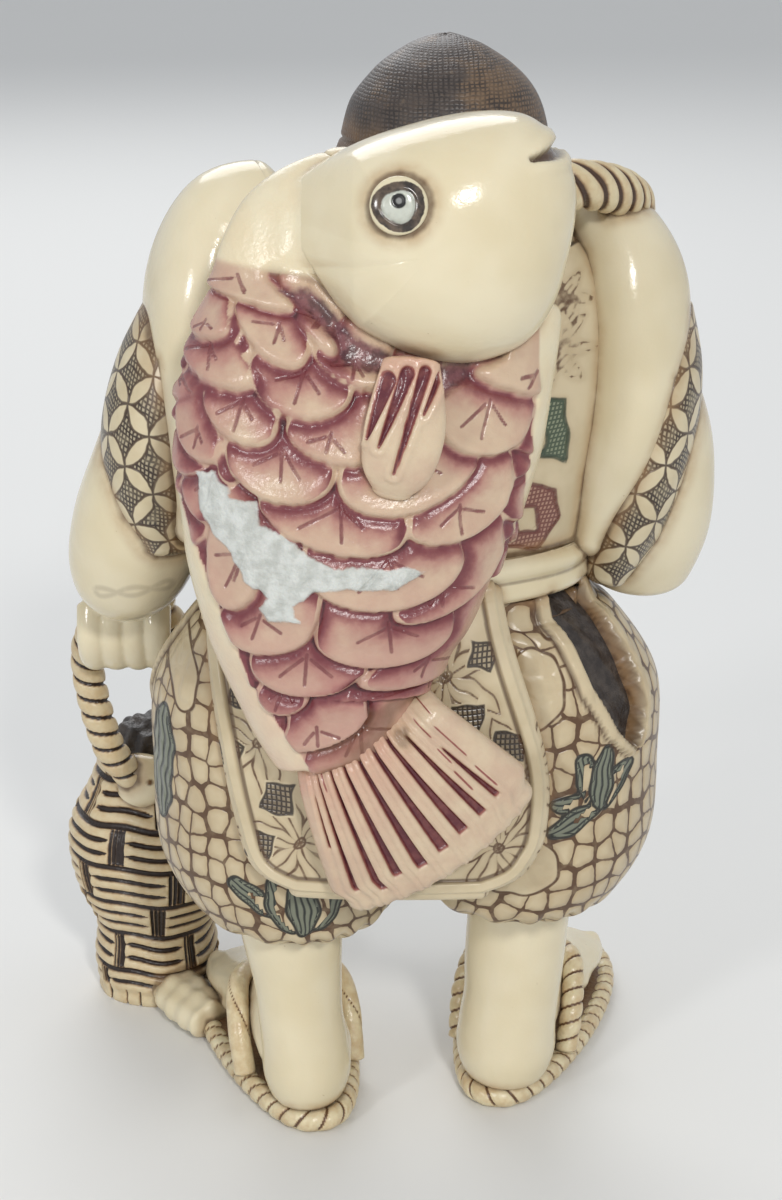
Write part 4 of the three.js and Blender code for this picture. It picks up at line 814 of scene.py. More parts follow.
def coat():
    skin = loft([
        [-1, 0.5, 57.4, 16, 12], [-1.6, 0.5, 63, 17.4, 12.5], [-2.2, 0.5, 71, 18.6, 12.6], [-2.8, 0, 79, 18.4, 12],
        [-3.4, -1, 85, 15.6, 11], [-4, -2, 89, 10.6, 8.5], [-4, -3, 91.5, 5.6, 5.5],
    ], 270, 140, end=0.8)
    x, z = skin.axis(0), skin.axis(2)
    back = skin.axis(1) > 0
    skin.rise(0.22 * np.sin(skin.c * 1.1 + 0.4 * np.sin(z / 5)) * ease(z, 86, 60) * (1 - 0.8 * back))
    wx, wz = wobble(x, z, 0.7)
    green = np.maximum(inside(wx, wz, GREEN), -ellipse(wx, wz, -12.9, 69.5, 0.75, 1.0))
    red = np.maximum(inside(wx, wz, RED), -inside(wx, wz, RED_SQUARE))
    small = inside(wx, wz, SMALL_SQUARE)
    flower = np.minimum(petals(wx + 14.2, wz - 77.2, 3.6, 0.5, 7, 0.15),
                        petals(wx + 14.8, wz - 81.4, 2.6, 0.1, 6, 0.17))
    line, box = net(*wobble(skin.c, skin.v))
    part = back & (x < -8)
    seam = np.abs(wz - 58.9 - 0.3 * wx - 4.2) + 0.04
    pen = np.where(part, np.minimum.reduce([np.abs(green), np.abs(red), flower + 0.03, seam]), line)
    figures = {name: np.where(part, np.clip(away, -2, 2), 2) for name, away in (("green", green), ("red", red))}
    skin.mark(pen=np.clip(pen, 0, 1), box=np.clip(np.where(part, small, box), -2, 2), tinted=part, **figures)
    build("coat_cloth", skin, FLOWERS, "coat")


# On the panel behind, flowers: middle x, z and turn; squares: middle x, z and half width
TAIL_FLOWERS = [(11.5, 43.3, 0.35), (8.0, 34.4, 0.1), (-4.6, 49.7, 0.6), (14.2, 52.0, 0.2), (-12.4, 41.0, 0.9),
                (-1.6, 38.5, 0.3), (-9.6, 34.0, 0)]
TAIL_SQUARES = [(12.9, 47.3, 1.15), (14.3, 41.7, 1.1), (9.9, 38.4, 1.3), (11.8, 33.7, 1.15), (-7.9, 51.4, 1.1),
                (-6.5, 45.8, 1.3), (-10.4, 43.2, 1.25), (3.6, 36.4, 1.2)]


def belt():
    skin = loft([[-1, 0.5, 54.9, 17, 13.1], [-1, 0.5, 57, 17.8, 13.8], [-1, 0.5, 59.1, 17.2, 13.3]], 300, 40,
                start=0.3, end=0.3)
    wrap = skin.v * 2.2 + 0.9 * np.sin(skin.c / 7.0) + 0.5 * np.sin(skin.c / 2.9 + 1)
    skin.rise(0.3 * np.sin(wrap) - 0.12)
    skin.mark(cut=ease(np.sin(wrap), -0.82, -1.0) * 0.55)
    build("belt_wrap", skin, SKIN, "belt")


def sash():
    y = -14.8
    bow = loft([[-4.6, y, 57.2, 1.2, 1.6], [-3.4, y - 0.3, 57, 2.6, 2.2], [-1, y - 0.2, 57, 1.9, 1.9],
                [1.4, y - 0.3, 57, 2.6, 2.2], [2.6, y, 57.2, 1.2, 1.6]], 90, 90, end=0.8, start=0.8)
    bow.rise(0.18 * np.cos(6 * bow.a)[None] * ease(np.abs(bow.axis(0) + 1), 0.6, 2.0))
    bow.mark(cut=ease(np.abs(np.abs(bow.axis(0) + 1) - 1.1), 0.3, 0.05) * 0.8)
    ends = []
    for side in (1, -1):
        end = loft([[-1 + side * 1, y - 0.2, 56, 1.8, 1], [-1 + side * 2.4, y - 0.8, 51, 2.2, 1],
                    [-1 + side * 3.2, y - 1, 46.5, 2.3, 0.9], [-1 + side * 3.4, y - 1, 45, 2.4, 0.8]], 80, 80,
                    end=0.4)
        end.rise(0.14 * np.cos(5 * end.a + side)[None] * ease(end.v, 0.5, 4))
        ends.append(end.mark(cut=ease(np.cos(5 * end.a + side)[None] + 0 * end.v, -0.7, -1) * 0.5))
    build("sash_bow", [bow] + ends, SKIN, "sash_knot")


def collars():
    for side, name in ((1, "left"), (-1, "right")):
        skin = loft([
            [HEAD_X + side * 5.5, -1, 90, 1.6, 1.1], [HEAD_X + side * 8, -7, 85.5, 1.8, 1.1],
            [HEAD_X + side * 6, -11.6, 79, 1.8, 1.1], [-1 - side, -13.2, 69, 1.8, 1.1],
            [-1 - side * 5, -12.6, 60.2, 1.8, 1.1],
        ], 60, 160, ref=(0, 1, 0.2), start=0.4, end=0.4, square=0.7)
        stripe = np.abs(np.cos(skin.v * 1.9 + 0.8 * skin.c))
        skin.rise(-0.12 * (1 - stripe) ** 2).mark(cut=(1 - stripe) ** 2.2 * ease(np.abs(skin.c), 1.6, 1.2) * 0.9)
        build("collar_band_" + name, skin, CORD, "collar_" + name)


def tail_window(z):
    """Middle and half width of the coat's hanging panels at a level."""
    low = PANEL_LOW
    rows = spline([[0.2, low, 8.3], [0.1, low + 0.9, 10.7], [0.1, low + 2.4, 12.2], [0, low + 5.4, 13.3],
                   [0.8, low + 12, 14], [3.4, 53, 13.2], [4, 60, 12.6]], 160)
    return np.interp(z, rows[:, 1], rows[:, 0]), np.interp(z, rows[:, 1], rows[:, 2])


def skirt_depth(x, z):
    """How far the skirt's squarish oval lies from the middle plane at x and z."""
    rows = spline([[25.7, 23, 17.2], [35.7, 22.6, 17], [48, 20.4, 15.8], [55.8, 17.2, 13.6]], 80)
    w, d = np.interp(z, rows[:, 0], rows[:, 1]), np.interp(z, rows[:, 0], rows[:, 2])
    return d * np.maximum(1 - np.abs((x + 1) / w) ** 2.63, 0.02) ** 0.38


def skirts():
    for side, name, node in ((1, "coat_tail_panel", "coat_tail"), (-1, "coat_front_panel", "coat_front")):

        def level(s):
            """Rows that crowd towards the rounded lower edge."""
            return PANEL_TOP + (PANEL_LOW - PANEL_TOP) * (1 - (1 - s) * np.abs(1 - s) ** 0.35)

        def face(t, s, side=side):
            z = level(s)
            middle, half = tail_window(z)
            x = middle + t * half
            return np.stack([x, 0.5 + side * skirt_depth(x, z), z], -1)
        skin = plate(face, 1.6, *((250, 220) if side > 0 else (180, 150)), 16)
        x, z = skin.axis(0), level(skin.s)
        middle, half = tail_window(z)
        levels = np.linspace(PANEL_TOP, PANEL_LOW, 60)
        m, h = tail_window(levels)
        outline = list(zip(m + h, levels)) + list(zip((m - h)[::-1], levels[::-1]))
        rim = -inside(x, z, [tuple(map(float, q)) for q in outline])
        rim = np.where(z > 54, np.minimum(half - np.abs(x - middle), 9), rim)
        hem = ease(rim, 1.25, 1.0) * skin.face
        fold = 0.14 * np.sin(x * 0.75 + 0.5) * ease(z, 30, 50)
        skin.rise((0.36 * hem * ease(rim, -0.1, 0.35) + fold * (1 - hem)) * skin.face)
        wx, wz = wobble(x, z)
        if side > 0:
            pen = np.minimum.reduce([petals(wx - a, wz - b, 6.0, turn, 6, 0.18) for a, b, turn in TAIL_FLOWERS])
            box = np.minimum.reduce([
                np.maximum(np.abs((wx - a) + 0.15 * (wz - b)), np.abs((wz - b) - 0.1 * (wx - a))) - half_width
                for a, b, half_width in TAIL_SQUARES])
        else:
            pen, box = net(wx, wz, 23, 9.6)
        pen = np.where(box < 0.25, 1, pen)
        skin.mark(pen=np.where(hem > 0.3, 1, np.clip(pen, 0, 1)), box=np.where(hem > 0.3, 2, np.clip(box, -2, 2)),
                  cut=ease(np.abs(rim - 1.3), 0.24, 0.08) * skin.face * 0.8)
        build(name, skin, FLOWERS, node)


# On the trousers, leaves and ovals: middle x, z, half width, half length and lean in degrees
LEAVES = {
    "left": [(3.6, 28.2, 1.1, 3.2, 66), (12.4, 27.2, 1.1, 2.8, -50), (9.8, 26.6, 1.5, 3.3, -16),
             (6.2, 26.6, 1.6, 3.3, 14), (8.0, 26.4, 1.4, 3.4, -2), (21.0, 38.0, 1.1, 5.6, 4)],
    "right": [(-16.6, 36.4, 0.8, 2.3, -80), (-16.3, 34.8, 1.0, 2.6, 66), (-20.1, 37.6, 0.9, 2.5, 39),
              (-17.8, 38.5, 1.1, 2.9, -19), (-19.0, 38.5, 1.0, 3.0, 8)],
}

OVALS = {
    "left": [(19.0, 47.2, 1.5, 3.4, -8), (16.4, 56.0, 1.6, 1.8, 0)],
    "right": [(-12.6, 47.2, 2.8, 3.6, 0), (-11.0, 30.6, 4.3, 3.0, 6), (-14.3, 53.6, 1.5, 2.1, 0)],
}


# ---------------------------------------------------------------- trousers with their side slits

# A slit's middle, lean and the way it faces in degrees; then its half widths at places along it
SLIT = {"left": ((22.2, -3, 48.5), -4, 100), "right": ((-19.9, 9.5, 48.5), 15, -42)}
SLIT_SHAPE = [(-8.6, 0), (-7.5, 0.9), (-5.5, 2), (-1, 2.9), (5, 2.7), (9.5, 1.6), (10.6, 0)]


def slit_place(points, key):
    """Points in the slit's own frame: across, deep and along."""
    middle, lean, facing = SLIT[key]
    a, b = math.radians(-facing), math.radians(lean)
    turn = np.array([[math.cos(a), -math.sin(a), 0], [math.sin(a), math.cos(a), 0], [0, 0, 1]])
    turn = turn @ np.array([[math.cos(b), 0, math.sin(b)], [0, 1, 0], [-math.sin(b), 0, math.cos(b)]])
    return (points - np.array(middle)) @ turn, turn


def trouser(key):
    left = key == "left"
    sx, tx = STANCE[key], 10.2 if left else -12.9
    low = HEM_Z if left else HEM_Z + HEM_LIFT
    hip = 7.0 if left else -9.0
    h = WAIST_Z - low
    skin = loft([
        [sx * 0.7 + tx * 0.3, 3.2, low, 6.5, 6.9], [sx * 0.5 + tx * 0.5, 2.6, low + h * 0.05, 9.5, 9.9],
        [tx, 1.6, low + h * 0.2, 11.7, 12.3], [tx, 0.6, low + h * 0.42, 12.2, 13.3],
        [tx, 0.3, low + h * 0.64, 11.9, 12.9], [tx * 0.6 + hip * 0.4, 0.2, low + h * 0.81, 9.8, 11.9],
        [hip, 0.4, 52.6, 9.76, 10.7], [hip, 0.5, 54.6, 8.96, 10.1],
    ], 290, 150, start=0.8, level=True)
    local, turn = slit_place(skin.p, key)
    shape = np.array(SLIT_SHAPE)
    half = np.interp(local[..., 2], shape[:, 0], shape[:, 1], left=-2, right=-2)
    gap = np.where(np.abs(local[..., 1]) < 9, np.abs(local[..., 0]) - half, 9)
    near = (np.abs(local[..., 0]) < 4.5) & (np.abs(local[..., 1]) < 9) & (local[..., 2] > -9) & (local[..., 2] < 11)
    a, b, c = local[near][:, 0], local[near][:, 2], local[near][:, 1]

    def terms(p, q):
        """The products of a bent surface of the third degree."""
        return np.stack([1 + 0 * p, p, q, p * p, p * q, q * q, p ** 3, q ** 3, p * q * q, p * p * q], -1)

    weights = np.linalg.lstsq(terms(a, b), c, rcond=None)[0]
    centre = slit_place(np.array([[tx, 0.5, 45.0]]), key)[0][0, 1]
    inward = np.sign(centre - c.mean())
    pleats = 0.28 * np.sin(skin.a * 17 + 2 * np.sin(skin.a * 3))[None]
    gather = pleats * ease(skin.v, 4.5, 0.5) * ease(skin.v, -1, 0.5)
    hem = ease(gap, 1.5, 1.2) * ease(gap, 0.0, 0.25)
    skin.rise(-2.1 * ease(gap, 0.2, -0.45) + 0.4 * hem + gather)
    x, z, y = skin.axis(0), skin.axis(2), skin.axis(1)
    wx, wz = wobble(x, z, 0.8)
    away = np.where(y > -2, 0, FAR)
    oval = np.minimum.reduce([ellipse(wx, wz, *o) for o in OVALS[key]]) + away
    # each leaf lies over the last: its strokes run along it
    leaf, vein = np.full(x.shape, FAR), np.full(x.shape, FAR)
    sprigs = [(row, away) for row in LEAVES[key]]
    front = np.where(y < -4, 0, FAR)
    for dx, dz, lean in ((2, 41, 10), (5, 39.6, -50), (-4, 35, 50)):
        sprigs.append(((tx + dx, dz, 1.5, 3.2, lean), front))
    for (cx, cz, rx, rz, lean), off in sprigs:
        d = ellipse(wx, wz, cx, cz, rx, rz, lean) + off
        co, si = math.cos(math.radians(lean)), math.sin(math.radians(lean))
        share = np.clip(np.abs((wz - cz) * co - (wx - cx) * si) / rz, 0, 1)
        across = ((wx - cx) * co + (wz - cz) * si) / (1.15 - 0.5 * share ** 2)
        vein = np.where(d < 0.12, np.where(d < -0.1, across, 0), vein)
        leaf = np.where(d < 0, d, np.where(np.abs(leaf) < d, leaf, d))
    other = np.minimum.reduce([
        ellipse(wx, wz, tx + dx, dz, 2.6, 3.3, 0) for dx, dz in ((-5, 45), (5, 33), (0, 28))])
    oval = np.minimum(oval, other + front)
    cut = np.maximum(ease(np.abs(gap - 1.6), 0.28, 0.08), ease(gap, 0.35, 0.0)) * 0.9
    skin.mark(oval=np.clip(oval, -3, 3), leaf=np.clip(leaf, -3, 3), vein=np.where(np.abs(vein) < 8, vein, 0),
              plain=ease(gap, 1.7, 1.4), cut=cut)
    build("trouser_leg_" + key, skin, PEBBLES, "trouser_" + key)

    def floor(t, s):
        q = 9.9 - 18.0 * s
        p = t * np.maximum(np.interp(q, shape[:, 0], shape[:, 1]) + 0.25, 0.3)
        depth = terms(p, q) @ weights + inward * 1.45
        return np.stack([p, depth, q], -1) @ turn.T + np.array(SLIT[key][0])
    dark = plate(floor, 0.6, 60, 90, 12)
    dark.rise(0.12 * np.sin(dark.c * 2.2 + 0.6 * dark.v))
    build("slit_floor_" + key, dark, DARK, "slit_lining_" + key)


# ---------------------------------------------------------------- legs and sandals

def leg(key):
    left = key == "left"
    x, y = STANCE[key], HEEL_Y[key]
    out, a, c = (1.4, 4.0, 5.1) if left else (-1.3, 4.6, 5.1)
    knee = (HEM_Z if left else HEM_Z + HEM_LIFT) + 4
    calf = loft([
        [x + out, y - 1, knee, c - 0.2, c], [x + out, y - 1, knee - 5, c - 0.1, c + 0.1],
        [x + out * 0.6, y - 0.8, 14, a + 0.3, a + 0.7], [x + out * 0.4, y - 0.4, ANKLE_Z, a + 0.1, a + 0.7],
        [x + out * 0.1, y, 7, a + 0.2, a + 1], [x, y + 0.2, 4.6, a + 0.3, a + 1.3],
        [x, y + 0.1, 2.4, a - 0.3, a + 0.8],
    ], 90, 90)
    w, z, length = FOOT_WIDTH / 2, SOLE + 0.3, FOOT_LENGTH
    foot = [loft([
        [0, 2.2, z + 3, w * 0.66, 3], [0, -1, z + 3.6, w * 0.8, 3.6], [0, -length * 0.25, z + 4.2, w * 0.8, 4.2],
        [0, -length * 0.45, z + 2.7, w * 0.92, 3.3], [0.3, -length * 0.6, z + 1.8, w, 2.5],
        [0.3, -length * 0.7, z + 1.4, w * 0.95, 2],
    ], 80, 80, ref=(0, 0, 1), start=2.6, end=1.5)]
    for i, share in enumerate((-0.72, -0.27, 0.08, 0.42, 0.74)):
        r = 1.7 if i == 0 else 1.3
        tip = length * (0.86 - 0.021 * i * i)
        foot.append(loft([
            [share * w * 0.9, -length * 0.6, z + 1.6, r * 0.9, r],
            [share * w, -length * 0.72, z + 1.7, r * 0.9, r * 0.95], [share * w, -tip + 1.5, z + r * 0.9, r, r],
        ], 40, 40, ref=(0, 0, 1), end=r))
    for part in foot:
        part.stand(key)
    thing = build("leg_skin_" + key, [calf] + foot, SKIN, "leg_" + key)
    melt(thing, 0.28, 6)


def sole_edge(a, margin):
    half, width = FOOT_LENGTH / 2 + margin, FOOT_WIDTH / 2 + margin
    return power(np.sin(a), 0.8) * (width - 1.5 * np.cos(a)), -FOOT_LENGTH * 0.36 + np.cos(a) * half


def sandal(key):
    a = np.arange(200) / 200 * 2 * np.pi
    shares = [0, 0.3, 0.6, 0.85, 0.97, 1, 1, 0.97, 0.85, 0.6, 0.3, 0]
    levels = [0, 0, 0, 0, 0, 0.25, 1.7, 1.95, 2, 2, 2, 2]
    px, py = sole_edge(a, 1.2)
    middle = -FOOT_LENGTH * 0.36
    rings = [np.stack([px * s, middle + (py - middle) * s, 0 * a + z], 1) for s, z in zip(shares, levels)]
    slab = Skin(np.stack(rings), a)
    slab.mark(cut=np.where(slab.axis(2) > 1.8, 0.55, 0.0))
    turn = np.linspace(-np.pi, np.pi, 60)
    px, py = sole_edge(turn, 0.62)
    rim = cord(np.stack([px, py, 0 * px + 1.12], 1), 1.1, 44, 1.6, 40, 0.2, (0, 0, 1), 0.1, 0.19)
    for part in (slab, rim):
        part.stand(key)
    build("sandal_braid_" + key, [slab, rim], STRAP, "sandal_" + key)


def strap(key):
    w, length, halves = FOOT_WIDTH / 2, FOOT_LENGTH, []
    furrows = 3 if key == "left" else 17
    for side in (1, -1):
        path = [
            [side * (w - 0.2), -length * 0.11, SOLE], [side * (w - 0.1), -length * 0.17, SOLE + 4.5],
            [side * w * 0.84, -length * 0.28, SOLE + 7.2], [side * w * 0.3, -length * 0.42, SOLE + 6.3],
            [-0.25 * w, -length * 0.62, SOLE + 3.4], [-0.45 * w, -length * 0.76, SOLE],
        ]
        halves.append(cord(path, 1.15, furrows, 1.5, 40, 0.2, (0, 1, 0.1), 0.4, 0.19))
    for part in halves:
        part.stand(key)
    build("strap_cord_" + key, halves, STRAP, "strap_" + key)


# ---------------------------------------------------------------- head and cap

def blob(u, z, at, high, wide, tall):
    """A soft bump: high exp(-(du/wide)^2 - (dz/tall)^2)."""
    return high * np.exp(-((u - at[0]) / wide) ** 2 - ((z - at[1]) / tall) ** 2)


def head():
    skin = loft([
        [HEAD_X, HEAD_Y - 1.2, 78, 4.3, 5], [HEAD_X, HEAD_Y - 1.2, 80, 7.4, 8.6],
        [HEAD_X, HEAD_Y - 0.8, 83.5, 9.1, 9.8], [HEAD_X, HEAD_Y, 88, 9.5, 10],
        [HEAD_X, HEAD_Y, 93, 9.3, 10], [HEAD_X, HEAD_Y, 96.4, 7.22, 7.8],
    ], 270, 150, start=0.8, end=2, face=np.pi)
    u, z = skin.axis(0) - HEAD_X, skin.axis(2)
    front = skin.axis(1) < HEAD_Y
    m = np.abs(u)
    nose_h = np.interp(z, [83.6, 84.0, 84.5, 85.1, 86.2, 87.6, 89.2], [0, 0.7, 1.9, 2.2, 1.5, 0.75, 0.2])
    nose_w = np.interp(z, [84, 85.2, 87.5, 89], [1.35, 1.2, 0.75, 0.9])
    h = nose_h * bell(u, nose_w)
    h += blob(m, z, (1.3, 84.8), 0.75, 0.55, 0.6)
    h += blob(m, z, (3.4, 87.1), -0.75, 1.9, 1.0) + blob(m, z, (3.4, 87.0), 0.7, 1.25, 0.62)
    h += blob(m, z, (3.2, 88.7), 0.5, 2.3, 0.5) + blob(m, z, (4.8, 84.6), 0.7, 2.0, 1.6)
    smile = 82.05 + 0.05 * u * u
    h += 0.45 * bell(z - smile - 0.5, 0.36) * ease(m, 2.6, 1.2)
    h += 0.55 * bell(z - smile + 0.5, 0.42) * ease(m, 2.2, 0.9)
    h += -0.35 * bell(z - smile, 0.16) * ease(m, 2.7, 2.2)
    h += blob(u, z, (0, 79.8), 0.8, 1.9, 1.0) + blob(m, z, (0, 83.3), -0.12, 0.5, 0.6)
    lid = 87.15 + 0.42 * np.cos((m - 3.4) / 1.6 * 1.4) - 0.25
    line = ease(np.abs(z - lid), 0.17, 0.06) * ease(np.abs(m - 3.4), 1.75, 1.5)
    crease = ease(np.abs(z - lid - 0.75), 0.14, 0.05) * ease(np.abs(m - 3.4), 1.6, 1.2) * 0.5
    lips = ease(np.abs(z - smile), 0.15, 0.05) * ease(m, 2.7, 2.4)
    # under the cap the head is a millimetre smaller
    skin.rise((h - 0.22 * line) * front - 1.0 * ease(z, 89.7, 90.8))
    skin.mark(cut=np.maximum.reduce([line, crease, lips * 0.85]) * front)
    parts = [skin]
    for side in (1, -1):
        ear = loft([
            [HEAD_X + side * 9.3, -7, 83.6, 0.9, 1.3], [HEAD_X + side * 9.7, -6.6, 85.4, 1.2, 2],
            [HEAD_X + side * 9.8, -6.4, 87.4, 1.2, 2.1], [HEAD_X + side * 9.6, -6.6, 88.9, 0.8, 1.4],
        ], 70, 60, start=0.5, end=0.5)
        bowl = ellipse(ear.axis(1), ear.axis(2), -6.7, 86.6, 1.1, 1.8)
        outer = (ear.axis(0) - HEAD_X) * side > 9.6
        ear.rise(-0.4 * ease(bowl, 0.2, -0.6) * outer).mark(cut=ease(np.abs(bowl), 0.4, 0.05) * outer * 0.6)
        parts.append(ear)
    build("head_skin", parts, SKIN, "head")


def cap():
    skin = loft([
        [-4.8, -7.6, 90.2, 9.6, 10.2], [-4.9, -7.6, 93.04, 9.41, 10], [-5, -7.6, 96.4, 8.45, 8.98],
        [-5, -7.6, 99.06, 6.34, 6.73], [-5, -7.6, 100.88, 3.75, 4], [-5, -7.6, 101.62, 2.1, 2.2],
        [-5, -7.6, 101.93, 0.9, 0.95],
    ], 240, 120, start=0.3, end=0.06)
    roll = bell(skin.v - 1.0, 0.9)
    seam = ease(np.abs(skin.v - 2.4), 0.4, 0.1)
    skin.rise(0.3 * roll - 0.22 * seam + 0.08 * np.sin(3 * skin.a + 1)[None] * ease(skin.v, 3, 8))
    build("cap_cloth", skin, CAP, "cap")


# ---------------------------------------------------------------- sleeves, arms and hands

def sleeves():
    for name, start, end, across, along, rows in (
            ("left", 1.6, 2.4, 0.5, 0.09, [
                [10.5, -1, 88, 4, 4.6], [14.4, 0, 86.2, 5, 6], [16.2, 0.6, 81, 5.6, 7.4], [16.8, 1.2, 73, 5.4, 7.8],
                [17.6, 1.9, 66, 4.4, 7], [18.2, 2.5, 60, 2.6, 4.6]]),
            ("right", 1.4, 2, 0.45, -0.07, [
                [-17.6, -1, 86.8, 3, 4.4], [-20, 0, 84.6, 4.4, 6], [-21.2, 0.5, 80, 5, 7.4],
                [-20.8, 1.2, 73, 4.9, 7.8], [-19.3, 2, 65.5, 4.2, 7], [-17.4, 3, 58.5, 2.1, 4]])):
        skin = loft(rows, 120, 100, start=start, end=end)
        fold = np.sin(skin.c * across + skin.v * along + 0.6 * np.sin(skin.v * 0.25))
        build("sleeve_drape_" + name, skin.rise(0.3 * fold * ease(skin.v, 3, 10)), SKIN, "sleeve_" + name)


def cuffs():
    for name, along, rows in (
            ("left", 110, [[17.6, 0, 78.5, 4.5, 6], [19, 0.5, 73, 5.8, 7.2], [20.2, 1, 67, 6, 7.4],
                           [20.6, 1.6, 61.5, 4.7, 6], [20, 2.4, 57.5, 2.6, 3.6]]),
            ("right", 120, [[-22.8, -1, 78.5, 4.2, 6], [-23.4, -0.5, 73, 4.6, 7.2], [-22.6, 0, 67, 4.8, 7.4],
                            [-21, 0.8, 60, 4.1, 6.4], [-19.4, 1.6, 54.5, 2.2, 3.6]])):
        build("cuff_cloth_" + name, loft(rows, 140, along, start=1, end=1), PETALS, "cuff_" + name)


def arms():
    left = loft([[19.6, -1, 69, 5.8, 6.6], [21.4, -1, 63, 6.3, 7], [23.1, -2, 58.5, 6.3, 6.8],
                 [24.6, -4, 54, 5.8, 6], [25.6, -5.8, 51.4, 4.7, 4.8]], 140, 120, start=1, end=0.8)
    x, y, z = (left.axis(k) for k in range(3))
    fold = segment(x, z, (20.6, 53.4), (26.8, 52.6)) - 0.5 * np.abs(np.sin(x))
    left.mark(cut=ease(np.abs(fold), 0.5, 0.1) * ease(y, -4, -1) * 0.25)
    build("arm_skin_left", left, SKIN, "arm_left")
    upper = loft([[-22.1, -1.5, 73, 5, 6.1], [-23.5, -2.4, 66, 6, 6.9], [-23.5, -3.4, 59, 6.3, 6.7],
                  [-22.9, -4.6, 54, 5.5, 5.7]],
                 120, 90, start=1, end=2.4)
    lower = loft([[-23.1, -4, 57, 5.1, 5.3], [-21.1, -9.6, 57, 4.9, 4.9], [-18.9, -14.2, 58, 4.6, 4.6],
                  [-14.9, -16.8, 60.8, 3.9, 3.9]],
                 110, 90, ref=(0, 0, 1), start=1, end=0.8)
    thing = build("arm_skin_right", [upper, lower], SKIN, "arm_right")
    melt(thing, 0.3, 10)


def hands():
    hx, hy, z = 26.0, -12.0, 45.7
    parts = [loft([[25.8, hy + 4.4, z + 5.6, 3.2, 3], [hx, hy + 2, z + 3, 3.9, 2.8],
                   [hx, hy + 0.2, z + 1.2, 4.2, 2.7]], 50, 30, start=1, end=1.2)]
    for x in (-3.1, -1.05, 1.05, 3.1):
        parts.append(loft([[hx + x, hy + 2.2, z + 1.6, 1.2, 1.5], [hx + x, hy + 3, z - 1.6, 1.2, 1.5],
                           [hx + x, hy + 0.8, z - 4.3, 1.2, 1.5], [hx + x, hy - 2, z - 3.6, 1.1, 1.4]], 40, 60,
                           ref=(1, 0, 0), end=0.9, start=0.6))
    parts.append(loft([[hx - 3.4, hy + 0.4, z + 2, 1.4, 1.5], [hx - 3, hy - 3, z - 0.2, 1.3, 1.4],
                       [hx - 1.4, hy - 3.8, z - 2.6, 1.2, 1.3]],
                      40, 40, ref=(1, 0, 0), end=0.9))
    melt(build("hand_skin_left", parts, SKIN, "hand_left"), 0.2, 3)
    fx, fy, z = -9.5, -18.6, 64.0
    parts = [loft([[fx - 4.6, fy + 1.4, z - 2.6, 3.2, 3.2], [fx - 1.6, fy + 0.2, z - 0.8, 3.9, 3.4],
                   [fx + 0.8, fy + 0.2, z, 3.6, 3]],
                  50, 30, ref=(0, 0, 1), start=0.8, end=1)]
    for h in (-3, -1, 1, 3):
        parts.append(loft([[fx - 1, fy - 2.4, z + h, 1.2, 1.5], [fx + 1.8, fy - 2.6, z + h, 1.2, 1.5],
                           [fx + 3.6, fy - 0.4, z + h, 1.2, 1.5], [fx + 2.2, fy + 1.8, z + h, 1.1, 1.4]], 40, 60,
                           ref=(0, 0, 1), end=0.8, start=0.6))
    melt(build("hand_skin_right", parts, SKIN, "hand_right"), 0.2, 3)


def carrying_rope():
    """Four round strands. The radius is least where two meet: radius (1 - 0.22 (1 - |cos 2 (a - turn)|)^1.3)."""
    path = [[-12.4, 11.4, 91.4], [-16.4, 8, 91], [-20, 2.6, 89.4], [-21.4, -3.6, 86.6], [-19.4, -10, 80.6],
            [-14.6, -15, 73], [-8.9, -18.4, 64, 0.95], [-6.9, -18.2, 57.6, 0.9]]
    radius, pitch = 2.15, 8.4
    skin, _ = wound(path, radius, 72, 0.18, (1, 0, 0.2), 0.5)
    lobe = np.abs(np.cos(2 * (skin.a[None] - 2 * np.pi * skin.along[:, None] / pitch)))
    skin.rise(-0.22 * radius * (1 - lobe) ** 1.3).mark(cut=np.clip(1.5 * (1 - lobe) ** 2.2, 0, 1))
    build("carrying_cord", skin, CORD, "carrying_rope")


# ---------------------------------------------------------------- carp

def fish_rows():
    y, top = FISH_Y, SHOULDER_Z
    return [
        [-2.5, y - 2.4, top + 3, 8.5, 3], [-0.4, y - 1.6, top - 2, 13.4, 4], [0.8, y - 0.6, top - 8, 14.4, 6],
        [2.4, y, top - 14.5, 15, 8.2], [3.5, y, top - 21.5, 14.2, 9], [4.5, y, top - 28.5, 12.6, 8.3],
        [5.1, y + 0.3, top - 34.5, 10.2, 7], [5, y + 1, top - 39.5, 7.6, 5.2], [4, y + 1.8, top - 44, 5.8, 3.4],
    ]


PITCH = 8.0        # width of a scale, mm
ROWS = 16
FIRST = 5.0        # place of the first row of rims along the body, mm
STEP, CLOSER = 3.95, 0.052  # distance of two rows, and how much it shrinks from row to row
# Outlines in x, z: the white patch, further below the dark hollow by the head
CHIP = [(15.6, 69.9), (14.3, 70.1), (12.9, 68.4), (10.8, 67.9), (10.5, 66.3), (8.7, 65.7), (6.7, 63.9), (4.6, 63.0),
        (1.5, 62.9), (-1.5, 62.8), (-2.7, 62.3), (-0.2, 60.9), (3.3, 61.1), (5.8, 61.0), (6.9, 60.1), (8.1, 59.5),
        (7.8, 58.5), (7.1, 57.9), (9.9, 57.9), (10.6, 58.9), (9.9, 60.0), (11.7, 61.2), (12.9, 63.5), (14.5, 65.2),
        (15.3, 67.2)]

